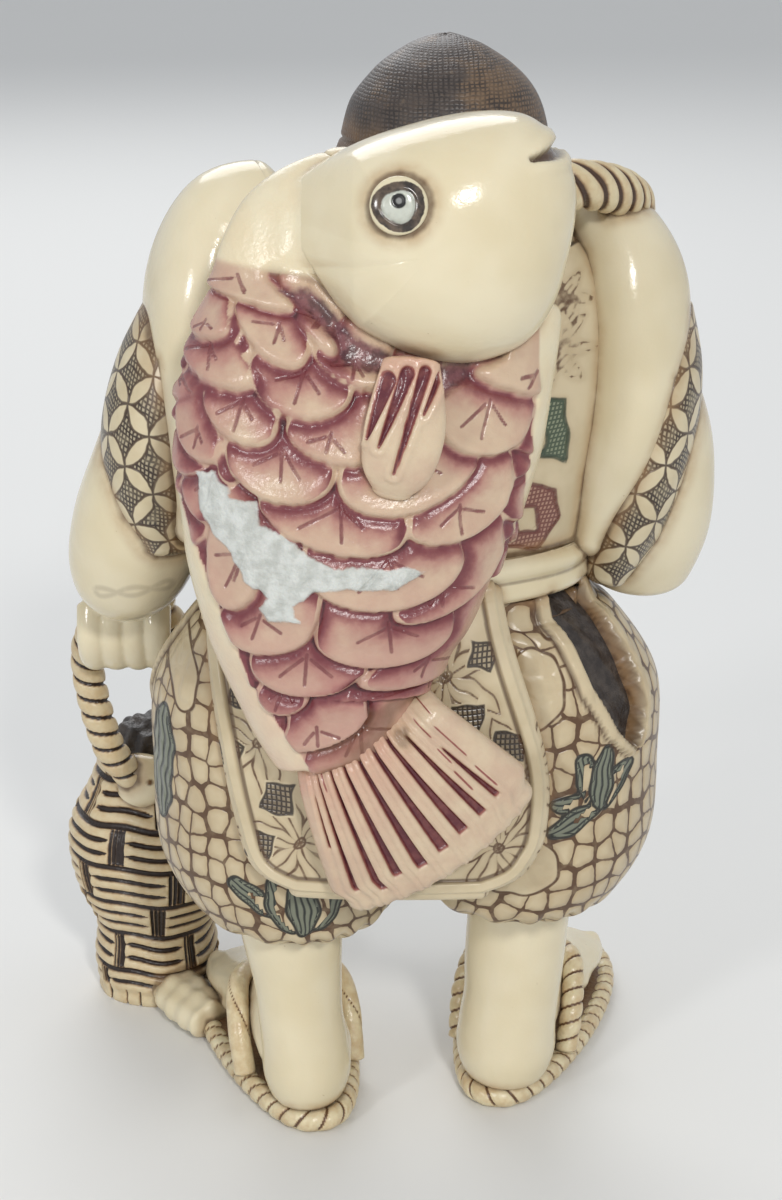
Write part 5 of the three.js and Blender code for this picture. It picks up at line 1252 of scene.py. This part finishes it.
# Rims of the scales on the back, each as one upper corner, its tip and the other corner in x, z
SCALES_SEEN = [
    ((12.7, 84.5), (10.8, 83.1), (8.7, 84.0)), ((15.9, 80.9), (14.9, 80.2), (12.9, 81.3)),
    ((12.4, 82.8), (9.6, 79.2), (6.6, 80.1)), ((8.6, 84.1), (6.0, 80.5), (4.4, 80.9)),
    ((15.8, 79.4), (13.9, 76.8), (11.4, 78.7)), ((11.2, 78.6), (7.6, 74.9), (3.2, 77.0)),
    ((6.1, 80.0), (3.3, 77.4), (0.4, 77.8)), ((15.0, 76.2), (12.3, 72.6), (9.0, 74.5)),
    ((17.3, 76.6), (16.7, 73.8), (14.9, 76.4)), ((8.3, 74.2), (5.1, 71.6), (1.6, 72.4)),
    ((17.3, 73.2), (15.6, 70.8), (13.7, 72.3)), ((13.2, 72.0), (8.9, 68.1), (4.5, 71.0)),
    ((3.9, 71.0), (-0.4, 67.2), (-7.0, 71.1)), ((-3.6, 75.9), (-6.9, 71.6), (-11.2, 73.5)),
    ((-7.6, 78.4), (-9.8, 76.1), (-12.0, 76.0)), ((-1.5, 66.5), (-4.9, 64.5), (-9.4, 67.6)),
    ((10.5, 67.8), (3.4, 63.8), (-1.2, 66.7)), ((14.9, 64.8), (14.0, 58.5), (10.9, 60.9)),
    ((14.0, 57.9), (11.4, 54.5), (6.7, 56.7)), ((6.3, 61.6), (-0.7, 59.0), (-5.8, 63.4)),
    ((-0.4, 59.0), (-3.7, 57.7), (-8.4, 61.3)), ((6.1, 56.7), (0.3, 53.6), (-5.0, 56.6)),
    ((11.6, 53.9), (6.8, 50.9), (2.0, 53.8)), ((6.9, 50.7), (2.2, 47.9), (-2.2, 49.9)),
    ((11.0, 50.9), (9.4, 48.8), (6.9, 50.6)), ((9.0, 46.6), (6.6, 45.5), (2.6, 47.9)),
    ((7.3, 45.2), (2.9, 43.8), (-2.0, 47.3)), ((1.6, 53.1), (-0.9, 51.2), (-4.2, 52.8)),
]

POOL = [(9.0, 84.4), (6.4, 84.6), (2.6, 81.0), (-0.2, 79.6), (-4.0, 78.8), (-6.6, 79.4), (-6.0, 77.6), (-4.2, 76.4),
        (-2.8, 77.0), (0.6, 78.2), (3.8, 79.0), (4.6, 80.9), (6.9, 83.0)]


def scale_away(a, b, wide, deep, lean):
    """Distance to a scale's rim: straight sides above b = 0, half an oval below, whose tip lies at a = lean."""
    a = a - lean * np.clip(b / deep, -0.6, 1)
    low = np.maximum(b, 0)
    q = np.hypot(a / wide, low / deep) + 1e-6
    slope = np.hypot(a / wide ** 2, low / deep ** 2) / q + 1e-6
    return np.where(b > 0, (q - 1) / slope, np.abs(a) - wide)


def soften(field):
    """Two passes of a small blur over the inner rows of a grid, which take the grid's steps out of the rims."""
    for _ in range(2):
        beside = np.roll(field, 1, 1) + 2 * field + np.roll(field, -1, 1)
        field = np.concatenate([field[:1], (beside[:-2] + 2 * beside[1:-1] + beside[2:]) / 16, field[-1:]])
    return field


def carp_body():
    skin = loft(fish_rows(), 326, 284, start=2, end=0.6, dense=0.62)
    c, v = skin.c, skin.v
    x, y, z = skin.axis(0), skin.axis(1), skin.axis(2)
    front = y > FISH_Y - 4

    def spot(place_at):
        k = np.argmin(np.where(front, np.hypot(x - place_at[0], z - place_at[1]), 99))
        return np.array([c.flat[k], v.flat[k]])

    height, rim = np.zeros(c.shape), np.full(c.shape, FAR)
    under, pen = np.full(c.shape, FAR), np.full(c.shape, FAR)

    def lay(a, b, wide, deep, lean, seed, reach=8.0):
        """One scale over those behind it: its face climbs to a bead along the rim and is rounded off there."""
        nonlocal height, rim, under, pen
        away = scale_away(a, b, wide, deep, lean)
        on = (away < 0) & (b > -reach)
        back = np.clip(deep - b, 0, 12)
        face = 0.95 * (1 - back / 9.5) - 0.3 * bell(back - 2.4, 1.6) * (1 - (a / wide) ** 2)
        face = face + 0.1 * bell(-away - 0.75, 0.4)
        near = np.clip(-away, 0, 0.5)
        face = face - 0.4 * (1 - np.sqrt(1 - (1 - near / 0.5) ** 2))
        height, rim = np.where(on, face, height), np.where(on, -away, rim)
        top = -0.25 * deep
        apex = lean * 0.3 + 0.1 * np.sin(seed * 5)
        tip = apex + lean * 0.3 + 0.2 * np.sin(seed * 3)
        strokes = [((apex, top - 0.3), (tip, deep * (0.52 + 0.1 * np.sin(seed * 7)))),
                   ((apex - 0.35, top + 0.15), (-0.42 * wide, deep * (0.25 + 0.12 * np.sin(seed * 2)))),
                   ((apex + 0.35, top + 0.15), (0.4 * wide, deep * (0.2 + 0.12 * np.sin(seed * 4))))]
        line = np.minimum.reduce([segment(a, b, *stroke) for stroke in strokes])
        pen = np.where(on, line, pen)
        under = np.where(on, FAR, np.minimum(under, np.where(b > -reach, np.maximum(away, 0), FAR)))

    # From the tail to the head, so that each row lies over the one behind it: first the even rows that
    # run round the whole body, then the scales on the back.
    for r in range(ROWS, 0, -1):
        tip = FIRST + STEP * r - CLOSER * r * r
        shift = PITCH / 2 if r % 2 else 0.0
        a = (c - shift) - np.round((c - shift) / PITCH) * PITCH
        deep = 3.7 - 0.06 * r
        lay(a, v - (tip - deep), PITCH * 0.515, deep, 0.0, r, 40.0)
    seen = []
    for k, corners in enumerate(SCALES_SEEN):
        one, tip, two = (spot(p) for p in corners)
        seen.append((tip[1], k, one, tip, two))
    for _, k, one, tip, two in sorted(seen, key=lambda s: -s[0]):
        middle, wide = (one + two) / 2, np.linalg.norm(two - one) / 2
        e = (two - one) / (2 * wide)
        n = np.array([-e[1], e[0]])
        n = n * np.sign(n[1])
        lean, deep = (tip - middle) @ e, max((tip - middle) @ n, 1.0)
        a = (c - middle[0]) * e[0] + (v - middle[1]) * e[1]
        b = (c - middle[0]) * n[0] + (v - middle[1]) * n[1]
        lay(a, b, wide * 1.04, deep, lean, k + 0.5)
    edge = np.where(rim < 0.4, rim, -np.minimum(under, 0.4))
    height = height - 0.5 * ease(under, 0.9, 0.1)
    # smooth skin: the shoulder, a band along the belly, a band along the back, and the hidden side
    smooth = ease(z - 0.12 * (x - 9), 84.9, 86.6)
    for out, levels, low, high in (
            (x, [44, 50, 60, 66, 72], [6.6, 10.6, 14.6, 16.6, 19.5], [7.3, 11.3, 15.3, 17.3, 20]),
            (-x, [44, 52, 60, 76], [2.6, 5.6, 9.5, 11.6], [3.2, 6.2, 10.1, 12.2])):
        smooth = np.maximum(smooth, ease(out, np.interp(z, levels, low), np.interp(z, levels, high)))
    smooth = np.maximum(smooth, 1 - front)
    pool = np.where(y > FISH_Y, inside(x, z, POOL), FAR)
    chip = np.where(y > FISH_Y, inside(x, z, CHIP), FAR)
    white = ease(chip, 0.25, -0.25)
    height = height * (1 - smooth) + 0.4 * smooth
    height = height * (1 - 0.8 * white) + (0.55 + 0.08 * np.sin(1.7 * x + z) * np.sin(1.3 * z)) * white
    height = height * (1 - 0.7 * ease(pool, 0.3, -0.3)) - 0.25 * ease(pool, 0.3, -0.3)
    height, under, edge = soften(height), soften(np.minimum(under, 4.0)), soften(edge)
    skin.rise(height - 0.1)
    # at the nape the skin swings up to the head's own surface: half the sum plus the root of the squares
    x, y, z = (skin.axis(k) for k in range(3))
    other, bend = head_front(x, z), 1.8 * ease(x, 6, 9)
    joined = 0.5 * (y + other + np.sqrt((y - other) ** 2 + bend ** 2)) - 0.07 * ease(x, 8.5, 7)
    calm = ease(x, 3.5, 7) * ease(z, 84.8, 86.6) * ease(z, 94.5, 92.5) * ease(y, 14.5, 16.5)
    skin.p[..., 1] = y + calm * np.clip(joined - y, 0, 5)
    flush = np.maximum(ease(x, 11.5, 17.5), ease(z, 66, 50) * 0.8) * (1 - smooth) + ease(z, 62, 48) * 0.7 * smooth
    skin.mark(calm=calm, under=np.where(smooth > 0.5, 4, np.clip(under, 0, 4)), edge=edge, bare=smooth, chip=chip,
              pen=np.where(smooth > 0.4, 2, np.minimum(pen, 2)), pool=np.clip(pool, -3, 3), blush=flush)
    build("carp_scales", skin, SCALES, "carp_body")


# The carp's head: its outline in x, z and the middle that its rings shrink to
HEAD_RIM = [(-12.8, 96.7), (-10.4, 98.2), (-6.6, 98.3), (-2, 97.4), (3, 95.7), (7.2, 93), (10.4, 89.8),
            (12.2, 87.0), (10.8, 85.8), (7.6, 85.0), (4.7, 83.0), (1.6, 80.7), (-2.4, 78.9), (-6.6, 78.5),
            (-10.8, 80.1), (-13.2, 83.4), (-14.4, 88), (-14.8, 92), (-14.1, 94.8)]
HEAD_MIDDLE = (-3.0, 88.6)


def nape(x):
    """0 on the cheek, 1 where the head runs out into the shoulder."""
    return np.clip((x - 3) / 7, 0, 1)


def head_rim():
    """The head's outline as distances from its middle by direction, and the same outline smoothed."""
    loop = np.asarray(HEAD_RIM, float)
    n = len(loop)
    edge = spline(np.concatenate([loop[-2:], loop, loop[:3]]), (n + 4) * 24 + 1)[48:49 + n * 24] - HEAD_MIDDLE
    way = np.linspace(-np.pi, np.pi, 311)[:-1]
    far = np.interp(way, np.arctan2(edge[:, 1], edge[:, 0]), np.hypot(edge[:, 0], edge[:, 1]), period=2 * np.pi)
    soft = far
    for _ in range(2):  # the mean over 41 neighbours, twice
        soft = sum(np.roll(soft, k) for k in range(-20, 21)) / 41
    return way, far, soft


def head_front(x, z):
    """The y of the head's outer side at x and z, carried on beyond its rim.

    A ring of the head lies at r = soft c + (far - soft) c^6, and there the height is 9 (1 - c^2)^(0.4 + 0.75 nape).
    c is found by Newton's steps."""
    way, far, soft = head_rim()
    dx, dz = x - HEAD_MIDDLE[0], z - HEAD_MIDDLE[1]
    a = np.arctan2(dz, dx)
    f, s = (np.interp(a, way, v, period=2 * np.pi) for v in (far, soft))
    r = np.minimum(np.hypot(dx, dz), 1.25 * f)
    c = r / f
    for _ in range(5):
        c = c - (s * c + (f - s) * c ** 6 - r) / (s + 6 * (f - s) * c ** 5)
    return FISH_HEAD_Y + 9 * power(1 - c * c, 0.4 + 0.75 * nape(HEAD_MIDDLE[0] + f * np.cos(a))) - 2 * nape(x)


def carp_head():
    way, far, soft = head_rim()
    lift = np.linspace(-np.pi / 2, np.pi / 2, 150)[:, None]
    c, up = np.cos(lift), np.abs(np.sin(lift))
    r = soft * c + (far - soft) * c ** 6
    x, z = HEAD_MIDDLE[0] + r * np.cos(way), HEAD_MIDDLE[1] + r * np.sin(way)
    high = np.where(lift < 0, -9 * up ** 0.8, 9 * up ** (0.8 + 1.5 * nape(HEAD_MIDDLE[0] + far * np.cos(way))))
    skin = Skin(np.stack([x, FISH_HEAD_Y + high - 2 * nape(x), z], 2), way)
    front = skin.axis(1) > FISH_HEAD_Y
    # mouth: a short dark cleft from the snout towards the cheek, between two lips
    cleft = segment(x, z, (-15.4, 96.2), (-11.0, 95.5)) - 0.42 * ease(x, -10.9, -13.6)
    slot = ease(cleft, 0.32, 0.02)
    lips = bell(cleft - 0.75, 0.45) * ease(x, -10.2, -12.0)
    # crease behind the cheek that runs into the lower rim
    crease = segment(x, z, (7.6, 87.9), (4.9, 83.9))
    fold = ease(crease, 0.35, 0.0) * front
    skin.rise(-0.8 * slot + 0.2 * lips - 0.22 * fold)
    skin.mark(cut=np.maximum(slot, ease(crease, 0.12, 0.03) * front * 0.5),
              calm=ease(x, 2.5, 6) * ease(z, 85.6, 87) * front)
    build("carp_head_skin", skin, SKIN, "carp_head")


def carp_eye():
    skin = loft([[-0.6, 25, 91.9, 2.25, 2.25], [-0.6, 26.9, 92.4, 2.25, 2.25]], 140, 16, ref=(0, 0, 1), end=0.6,
                cap=40)
    x, z = skin.axis(0) + 0.6, skin.axis(2) - 92.4
    r = np.hypot(x, z / 0.92)
    edge = 1.32 + 0.08 * np.sin(3 * np.arctan2(z, x) + 1)
    pupil = np.hypot(x, z - 0.45)
    skin.rise(-0.1 * ease(np.abs(r - edge), 0.2, 0.04) - 0.1 * ease(pupil, 0.66, 0.5))
    skin.mark(ring=r - edge, pupil=pupil)
    build("carp_eye_disc", skin, EYE, "carp_eye")


def side_fin():
    x, z, y = -1.6, 79.0, 26.4
    skin = loft([
        [x, y - 2, z + 0.5, 2.3, 1.2], [x + 0.4, y - 0.2, z - 3.8, 3.2, 1.2], [x + 1.1, y + 0.1, z - 7.5, 2.9, 1.1],
        [x + 1.5, y - 0.5, z - 9.4, 1.7, 0.95],
    ], 150, 110, start=0.5, end=0.9, square=0.8)
    u, w = skin.axis(0), skin.axis(2)
    top = ease(skin.normal()[..., 1], 0.2, 0.5)
    # wedge-shaped furrows, wide at the root and pointed towards the tip
    furrow, ridge = np.zeros(u.shape), np.zeros(u.shape)
    for (ax, az), (bx, bz), wide in (((0.3, 78.5), (2.0, 74.0), 0.62), ((-1.3, 79.0), (1.0, 73.4), 0.5),
                                     ((-2.7, 79.1), (-0.2, 71.2), 0.4), ((-3.9, 78.7), (-2.6, 76.0), 0.22)):
        t = np.clip((az - w) / (az - bz), 0, 1)
        d = segment(u, w, (ax, az), (bx, bz))
        half = wide * (1 - t) ** 0.8 + 0.06
        furrow = np.maximum(furrow, ease(d - half, 0.16, -0.12))
        ridge = np.maximum(ridge, bell(d - half - 0.45, 0.3))
    skin.rise((0.16 * ridge - 0.42 * furrow) * top)
    skin.mark(cut=furrow * top, blush=ease(w, 75.5, 79.2))
    build("carp_side_fin_rays", skin, FINS, "carp_side_fin")


def tail_fin():
    root, turn, length = np.array([2.6, 46.3]), math.radians(31), 14.0
    go = np.array([-math.sin(turn), -math.cos(turn)])
    side = np.array([math.cos(turn), -math.sin(turn)])

    def face(t, s):
        reach = length * (1.02 - 0.07 * t * t + 0.05 * t)
        along = -2.2 + (reach + 2.2) * s
        half = (5.0 + (9.9 - 5.0) * s ** 0.8) * (1 - 0.1 * ease(s, 0.86, 1.0))
        x = root[0] + go[0] * along + side[0] * t * half
        z = root[1] + go[1] * along + side[1] * t * half
        y = FISH_Y + 2.6 + 2.7 - 0.8 * s + 0.9 * np.sin(np.pi * s) - 1.7 * t ** 2 - 1.6 * ease(s, 0.26, 0.08)
        return np.stack([x, y, z], -1)
    skin = plate(face, 2.6, 260, 160, 24)
    t, s = skin.a[None] + 0 * skin.c, skin.s
    # wedge furrows that open towards the edge and stop short of it; plain rays beside them
    furrow, crest = np.zeros(t.shape), np.zeros(t.shape)
    for at, start, stop, wide in (
            (0.97, 0.3, 0.6, 0.014), (0.86, 0.2, 0.9, 0.028), (0.64, 0.12, 0.95, 0.04), (0.42, 0.1, 0.9, 0.05),
            (0.17, 0.08, 0.92, 0.058), (-0.09, 0.08, 0.9, 0.06), (-0.34, 0.1, 0.88, 0.056),
            (-0.58, 0.24, 0.87, 0.045), (-0.79, 0.42, 0.85, 0.03)):
        bend = at - 0.1 * at * (1 - s)
        share = np.clip((s - start) / (stop - start), 0, 1)
        half = 0.72 * wide * (0.35 + 0.85 * share)
        d = np.abs(t - bend) - half
        end = ease(s, start - 0.03, start + 0.04) * ease(s, stop + 0.015, stop - 0.015)
        furrow = np.maximum(furrow, ease(d, 0.014, -0.012) * end)
        crest = np.maximum(crest, bell(d - 0.045, 0.035) * ease(s, 0.05, 0.25))
    ink = np.zeros(t.shape)
    for at, start, stop in ((0.74, 0.2, 0.34), (0.7, 0.4, 0.52), (0.66, 0.56, 0.72), (0.86, 0.3, 0.55),
                            (0.84, 0.62, 0.8), (-0.72, 0.1, 0.3), (0.94, 0.12, 0.24)):
        reach = ease(s, start - 0.02, start + 0.02) * ease(s, stop + 0.02, stop - 0.02)
        ink = np.maximum(ink, ease(np.abs(t + at), 0.016, 0.004) * reach)
    skin.rise((0.16 * crest - 0.5 * furrow - 0.08 * ink) * skin.face)
    skin.mark(cut=np.maximum(furrow, ink * 0.6) * skin.face, blush=ease(s, 0.85, 0.05) * ease(-t, 0.9, 0.2))
    build("carp_tail_rays", skin, FINS, "carp_tail_fin")


# ---------------------------------------------------------------- basket

def basket_radius(share):
    """The basket's radius at a share of its height."""
    rows = [[6.2], [6.6], [6.3], [7.9], [8.8], [8.6], [6.5], [5.2]]
    return np.interp(share, np.linspace(0, 1, 57), spline(rows, 57)[:, 0])


def basket():
    rows, cols = 176, 330
    share = np.linspace(0, 1, rows)
    a = (np.arange(cols) / cols * 2 - 0.5) * np.pi
    z, r = share * BASKET_HEIGHT, basket_radius(share)
    z = np.concatenate([[0, 0], z, [BASKET_HEIGHT, BASKET_HEIGHT - 0.8, BASKET_HEIGHT - 1]])
    r = np.concatenate([[0, 5.4], r, [4.0, 3.6, 0]])
    p = np.stack([BASKET[0] + r[:, None] * np.cos(a), BASKET[1] + r[:, None] * np.sin(a), z[:, None] + 0 * a], 2)
    skin = Skin(p, a, 2)
    wall = np.zeros(p.shape[:2])
    wall[2:-3] = 1
    # courses of three long strands, broken by small groups of upright bars that shift from course to course
    courses, groups, waist = 6.4, 5, 8
    course = BASKET_HEIGHT / courses
    sag = 0.5 * np.sin(a)[None] + 0.3 * np.sin(3 * a + 1)[None] + 0.12 * np.sin(7 * a + 2)[None]
    level = (skin.axis(2) + sag) / course
    k = np.floor(level)
    rest = level - k
    turn = (a[None] / (2 * np.pi) * groups + 0.5 * (k % 2) + 0.13 * k + 0.11 * np.sin(2.3 * k)) % 1 - 0.5
    reach = 0.085 + 0.015 * np.sin(3.1 * k)
    upright = np.abs(turn) < reach
    girth = 2 * np.pi * waist / groups
    bar = np.abs(np.mod((turn + reach) / (2 * reach) * 3.5, 1) - 0.5) * 2 * reach / 3.5 * girth
    slot = ease(bar, 0.27, 0.1) * ease(np.abs(rest - 0.5), 0.47, 0.38)
    # long grooves between the strands: they narrow to a point near the bars
    taper = 0.8 * ease(np.abs(turn), reach + 0.01, reach + 0.12)
    strand = np.minimum(np.abs(rest - 0.34), np.abs(rest - 0.67)) * course
    groove = ease(strand, 0.1 + 0.34 * taper, 0.03 + 0.12 * taper) * ease(np.abs(turn), reach, reach + 0.03)
    between = ease(np.minimum(rest, 1 - rest) * course, 0.44, 0.12)
    cut = np.maximum(np.where(upright, slot, groove), between)
    round_up = np.where(upright, 0.1, 0.16 * np.cos(2 * np.pi * (rest - 0.17) * 3) * 0.5)
    foot = ease(skin.axis(2), 2.0, 1.6)
    ribs = ease(np.abs(np.sin(9 * a + 0.8 * np.sin(5 * a)))[None] + 0 * rest, 0.22, 0.08) * 0.7
    cut = cut * (1 - foot) + foot * ribs
    skin.rise((round_up * (1 - cut) - 0.42 * cut + 0.02) * wall)
    skin.mark(cut=cut * wall)
    build("basket_weave", skin, WICKER, "basket")


def basket_fittings():
    fill = loft([[24.9, BASKET[1], BASKET_HEIGHT - 0.6, 4.6, 4.6],
                 [24.9, BASKET[1], BASKET_HEIGHT + 1.4, 4.0, 4.0]], 90, 20, end=1.6, cap=20)
    fill.rise(0.35 * np.sin(fill.axis(0) * 2.3) * np.sin(fill.axis(1) * 2.0 + 1) * ease(fill.v, 0.5, 2))
    build("basket_mound", fill, DARK, "basket_filling")
    path = [[26.5, -16.1, 26.6], [28.8, -15.1, 30.6], [30.4, -14.6, 38.5], [29.6, -13.2, 43.5], [26.4, -12.6, 45.9],
            [22.2, -14.4, 44.3], [20.6, -18.6, 38.9], [22.3, -26.5, 26.6]]
    build("basket_handle_cord", cord(path, 1.66, 26, 1.6), WICKER, "basket_handle")
    lug = loft([[26.3, -16.7, 24.2, 2, 1.6], [25.5, -16.3, 26.2, 2.9, 1.9], [25.1, -16.7, 28.2, 2, 1.4]], 80, 60,
               start=0.6, end=0.6)
    lug.mark(cut=ease(np.hypot(lug.axis(0) - 24.6, lug.axis(2) - 26.6), 0.45, 0.2) * (lug.axis(1) > -16))
    build("basket_lug_pad", lug, SKIN, "basket_lug")
    web = loft([[22.7, -17.3, 1.9, 3, 1.9], [21.2, -14, 1.9, 3, 1.9], [18.6, -10, 1.9, 2.6, 1.9]], 60, 50,
               ref=(0, 0, 1), end=0.8)
    web.rise(0.2 * np.sin(web.axis(0) * 2.1) * np.sin(web.axis(1) * 1.7))
    build("base_web_cast", web, SKIN_DULL, "base_web")


coat()
belt()
sash()
collars()
skirts()
for key in ("left", "right"):
    trouser(key)
    leg(key)
    sandal(key)
    strap(key)
head()
cap()
sleeves()
cuffs()
arms()
hands()
carrying_rope()
carp_body()
carp_head()
carp_eye()
side_fin()
tail_fin()
basket()
basket_fittings()

for thing, nodes in made:
    nearness(thing, nodes)
    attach(thing, "root")
    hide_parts(*nodes)


# ---------------------------------------------------------------- floor, light and camera

paper = bpy.data.materials.new("floor_paper")
paper.use_nodes = True
plain = paper.node_tree.nodes["Principled BSDF"]
plain.inputs["Base Color"].default_value = colour(226, 226, 224)
plain.inputs["Roughness"].default_value = 0.6
REACH = 3  # half the floor's width, m
floor = bpy.data.meshes.new("floor")
floor.from_pydata([(-REACH, -REACH, 0), (REACH, -REACH, 0), (REACH, REACH, 0), (-REACH, REACH, 0)], [],
                  [(0, 1, 2, 3)])
ground = bpy.data.objects.new("floor", floor)
bpy.context.scene.collection.objects.link(ground)
floor.materials.append(paper)


def lamp(name, place_at, aim, size, power_w, tint=(1, 1, 1)):
    """A round lamp, `size` metres wide, that points from one place to another."""
    data = bpy.data.lights.new(name, "AREA")
    data.shape, data.size, data.energy, data.color = "DISK", size, power_w, tint
    thing = bpy.data.objects.new(name, data)
    bpy.context.scene.collection.objects.link(thing)
    thing.location = place_at
    x, y, z = (a - b for a, b in zip(aim, place_at))
    thing.rotation_euler = (math.atan2(math.hypot(x, y), -z), 0, math.atan2(-x, y))


lamp("key_lamp", (-0.14, 0.55, 0.4), (0, 0, 0.06), 0.075, 1.65, (1, 0.985, 0.96))
lamp("fill_lamp", (0.4, 0.5, 0.3), (0, 0, 0.05), 0.1, 0.95)
lamp("rim_lamp", (0.1, -0.55, 0.5), (0, 0, 0.05), 0.5, 1.6)

DAYLIGHT = 0.68
world = bpy.data.worlds.new("studio")
bpy.context.scene.world = world
world.use_nodes = True
sky = world.node_tree.nodes["Background"]
sky.inputs[0].default_value, sky.inputs[1].default_value = colour(235, 238, 242), DAYLIGHT

# The photograph's camera: its lens, its place in metres and how far it looks down, in degrees
SENSOR_MM, LENS_MM, NEAR = 36.0, 71.0, 0.01
CAMERA_BACK, CAMERA_UP, CAMERA_DIP = 0.208, 0.1225, 18.9
view = bpy.data.cameras.new("photo_camera")
view.sensor_width, view.lens, view.clip_start = SENSOR_MM, LENS_MM, NEAR
camera = bpy.data.objects.new("photo_camera", view)
bpy.context.scene.collection.objects.link(camera)
camera.location = (ORIGIN[0] * MM, CAMERA_BACK + ORIGIN[1] * MM, CAMERA_UP)
camera.rotation_euler = (math.radians(90 - CAMERA_DIP), 0, math.pi)
bpy.context.scene.camera = camera
bpy.context.scene.view_settings.view_transform = "Standard"
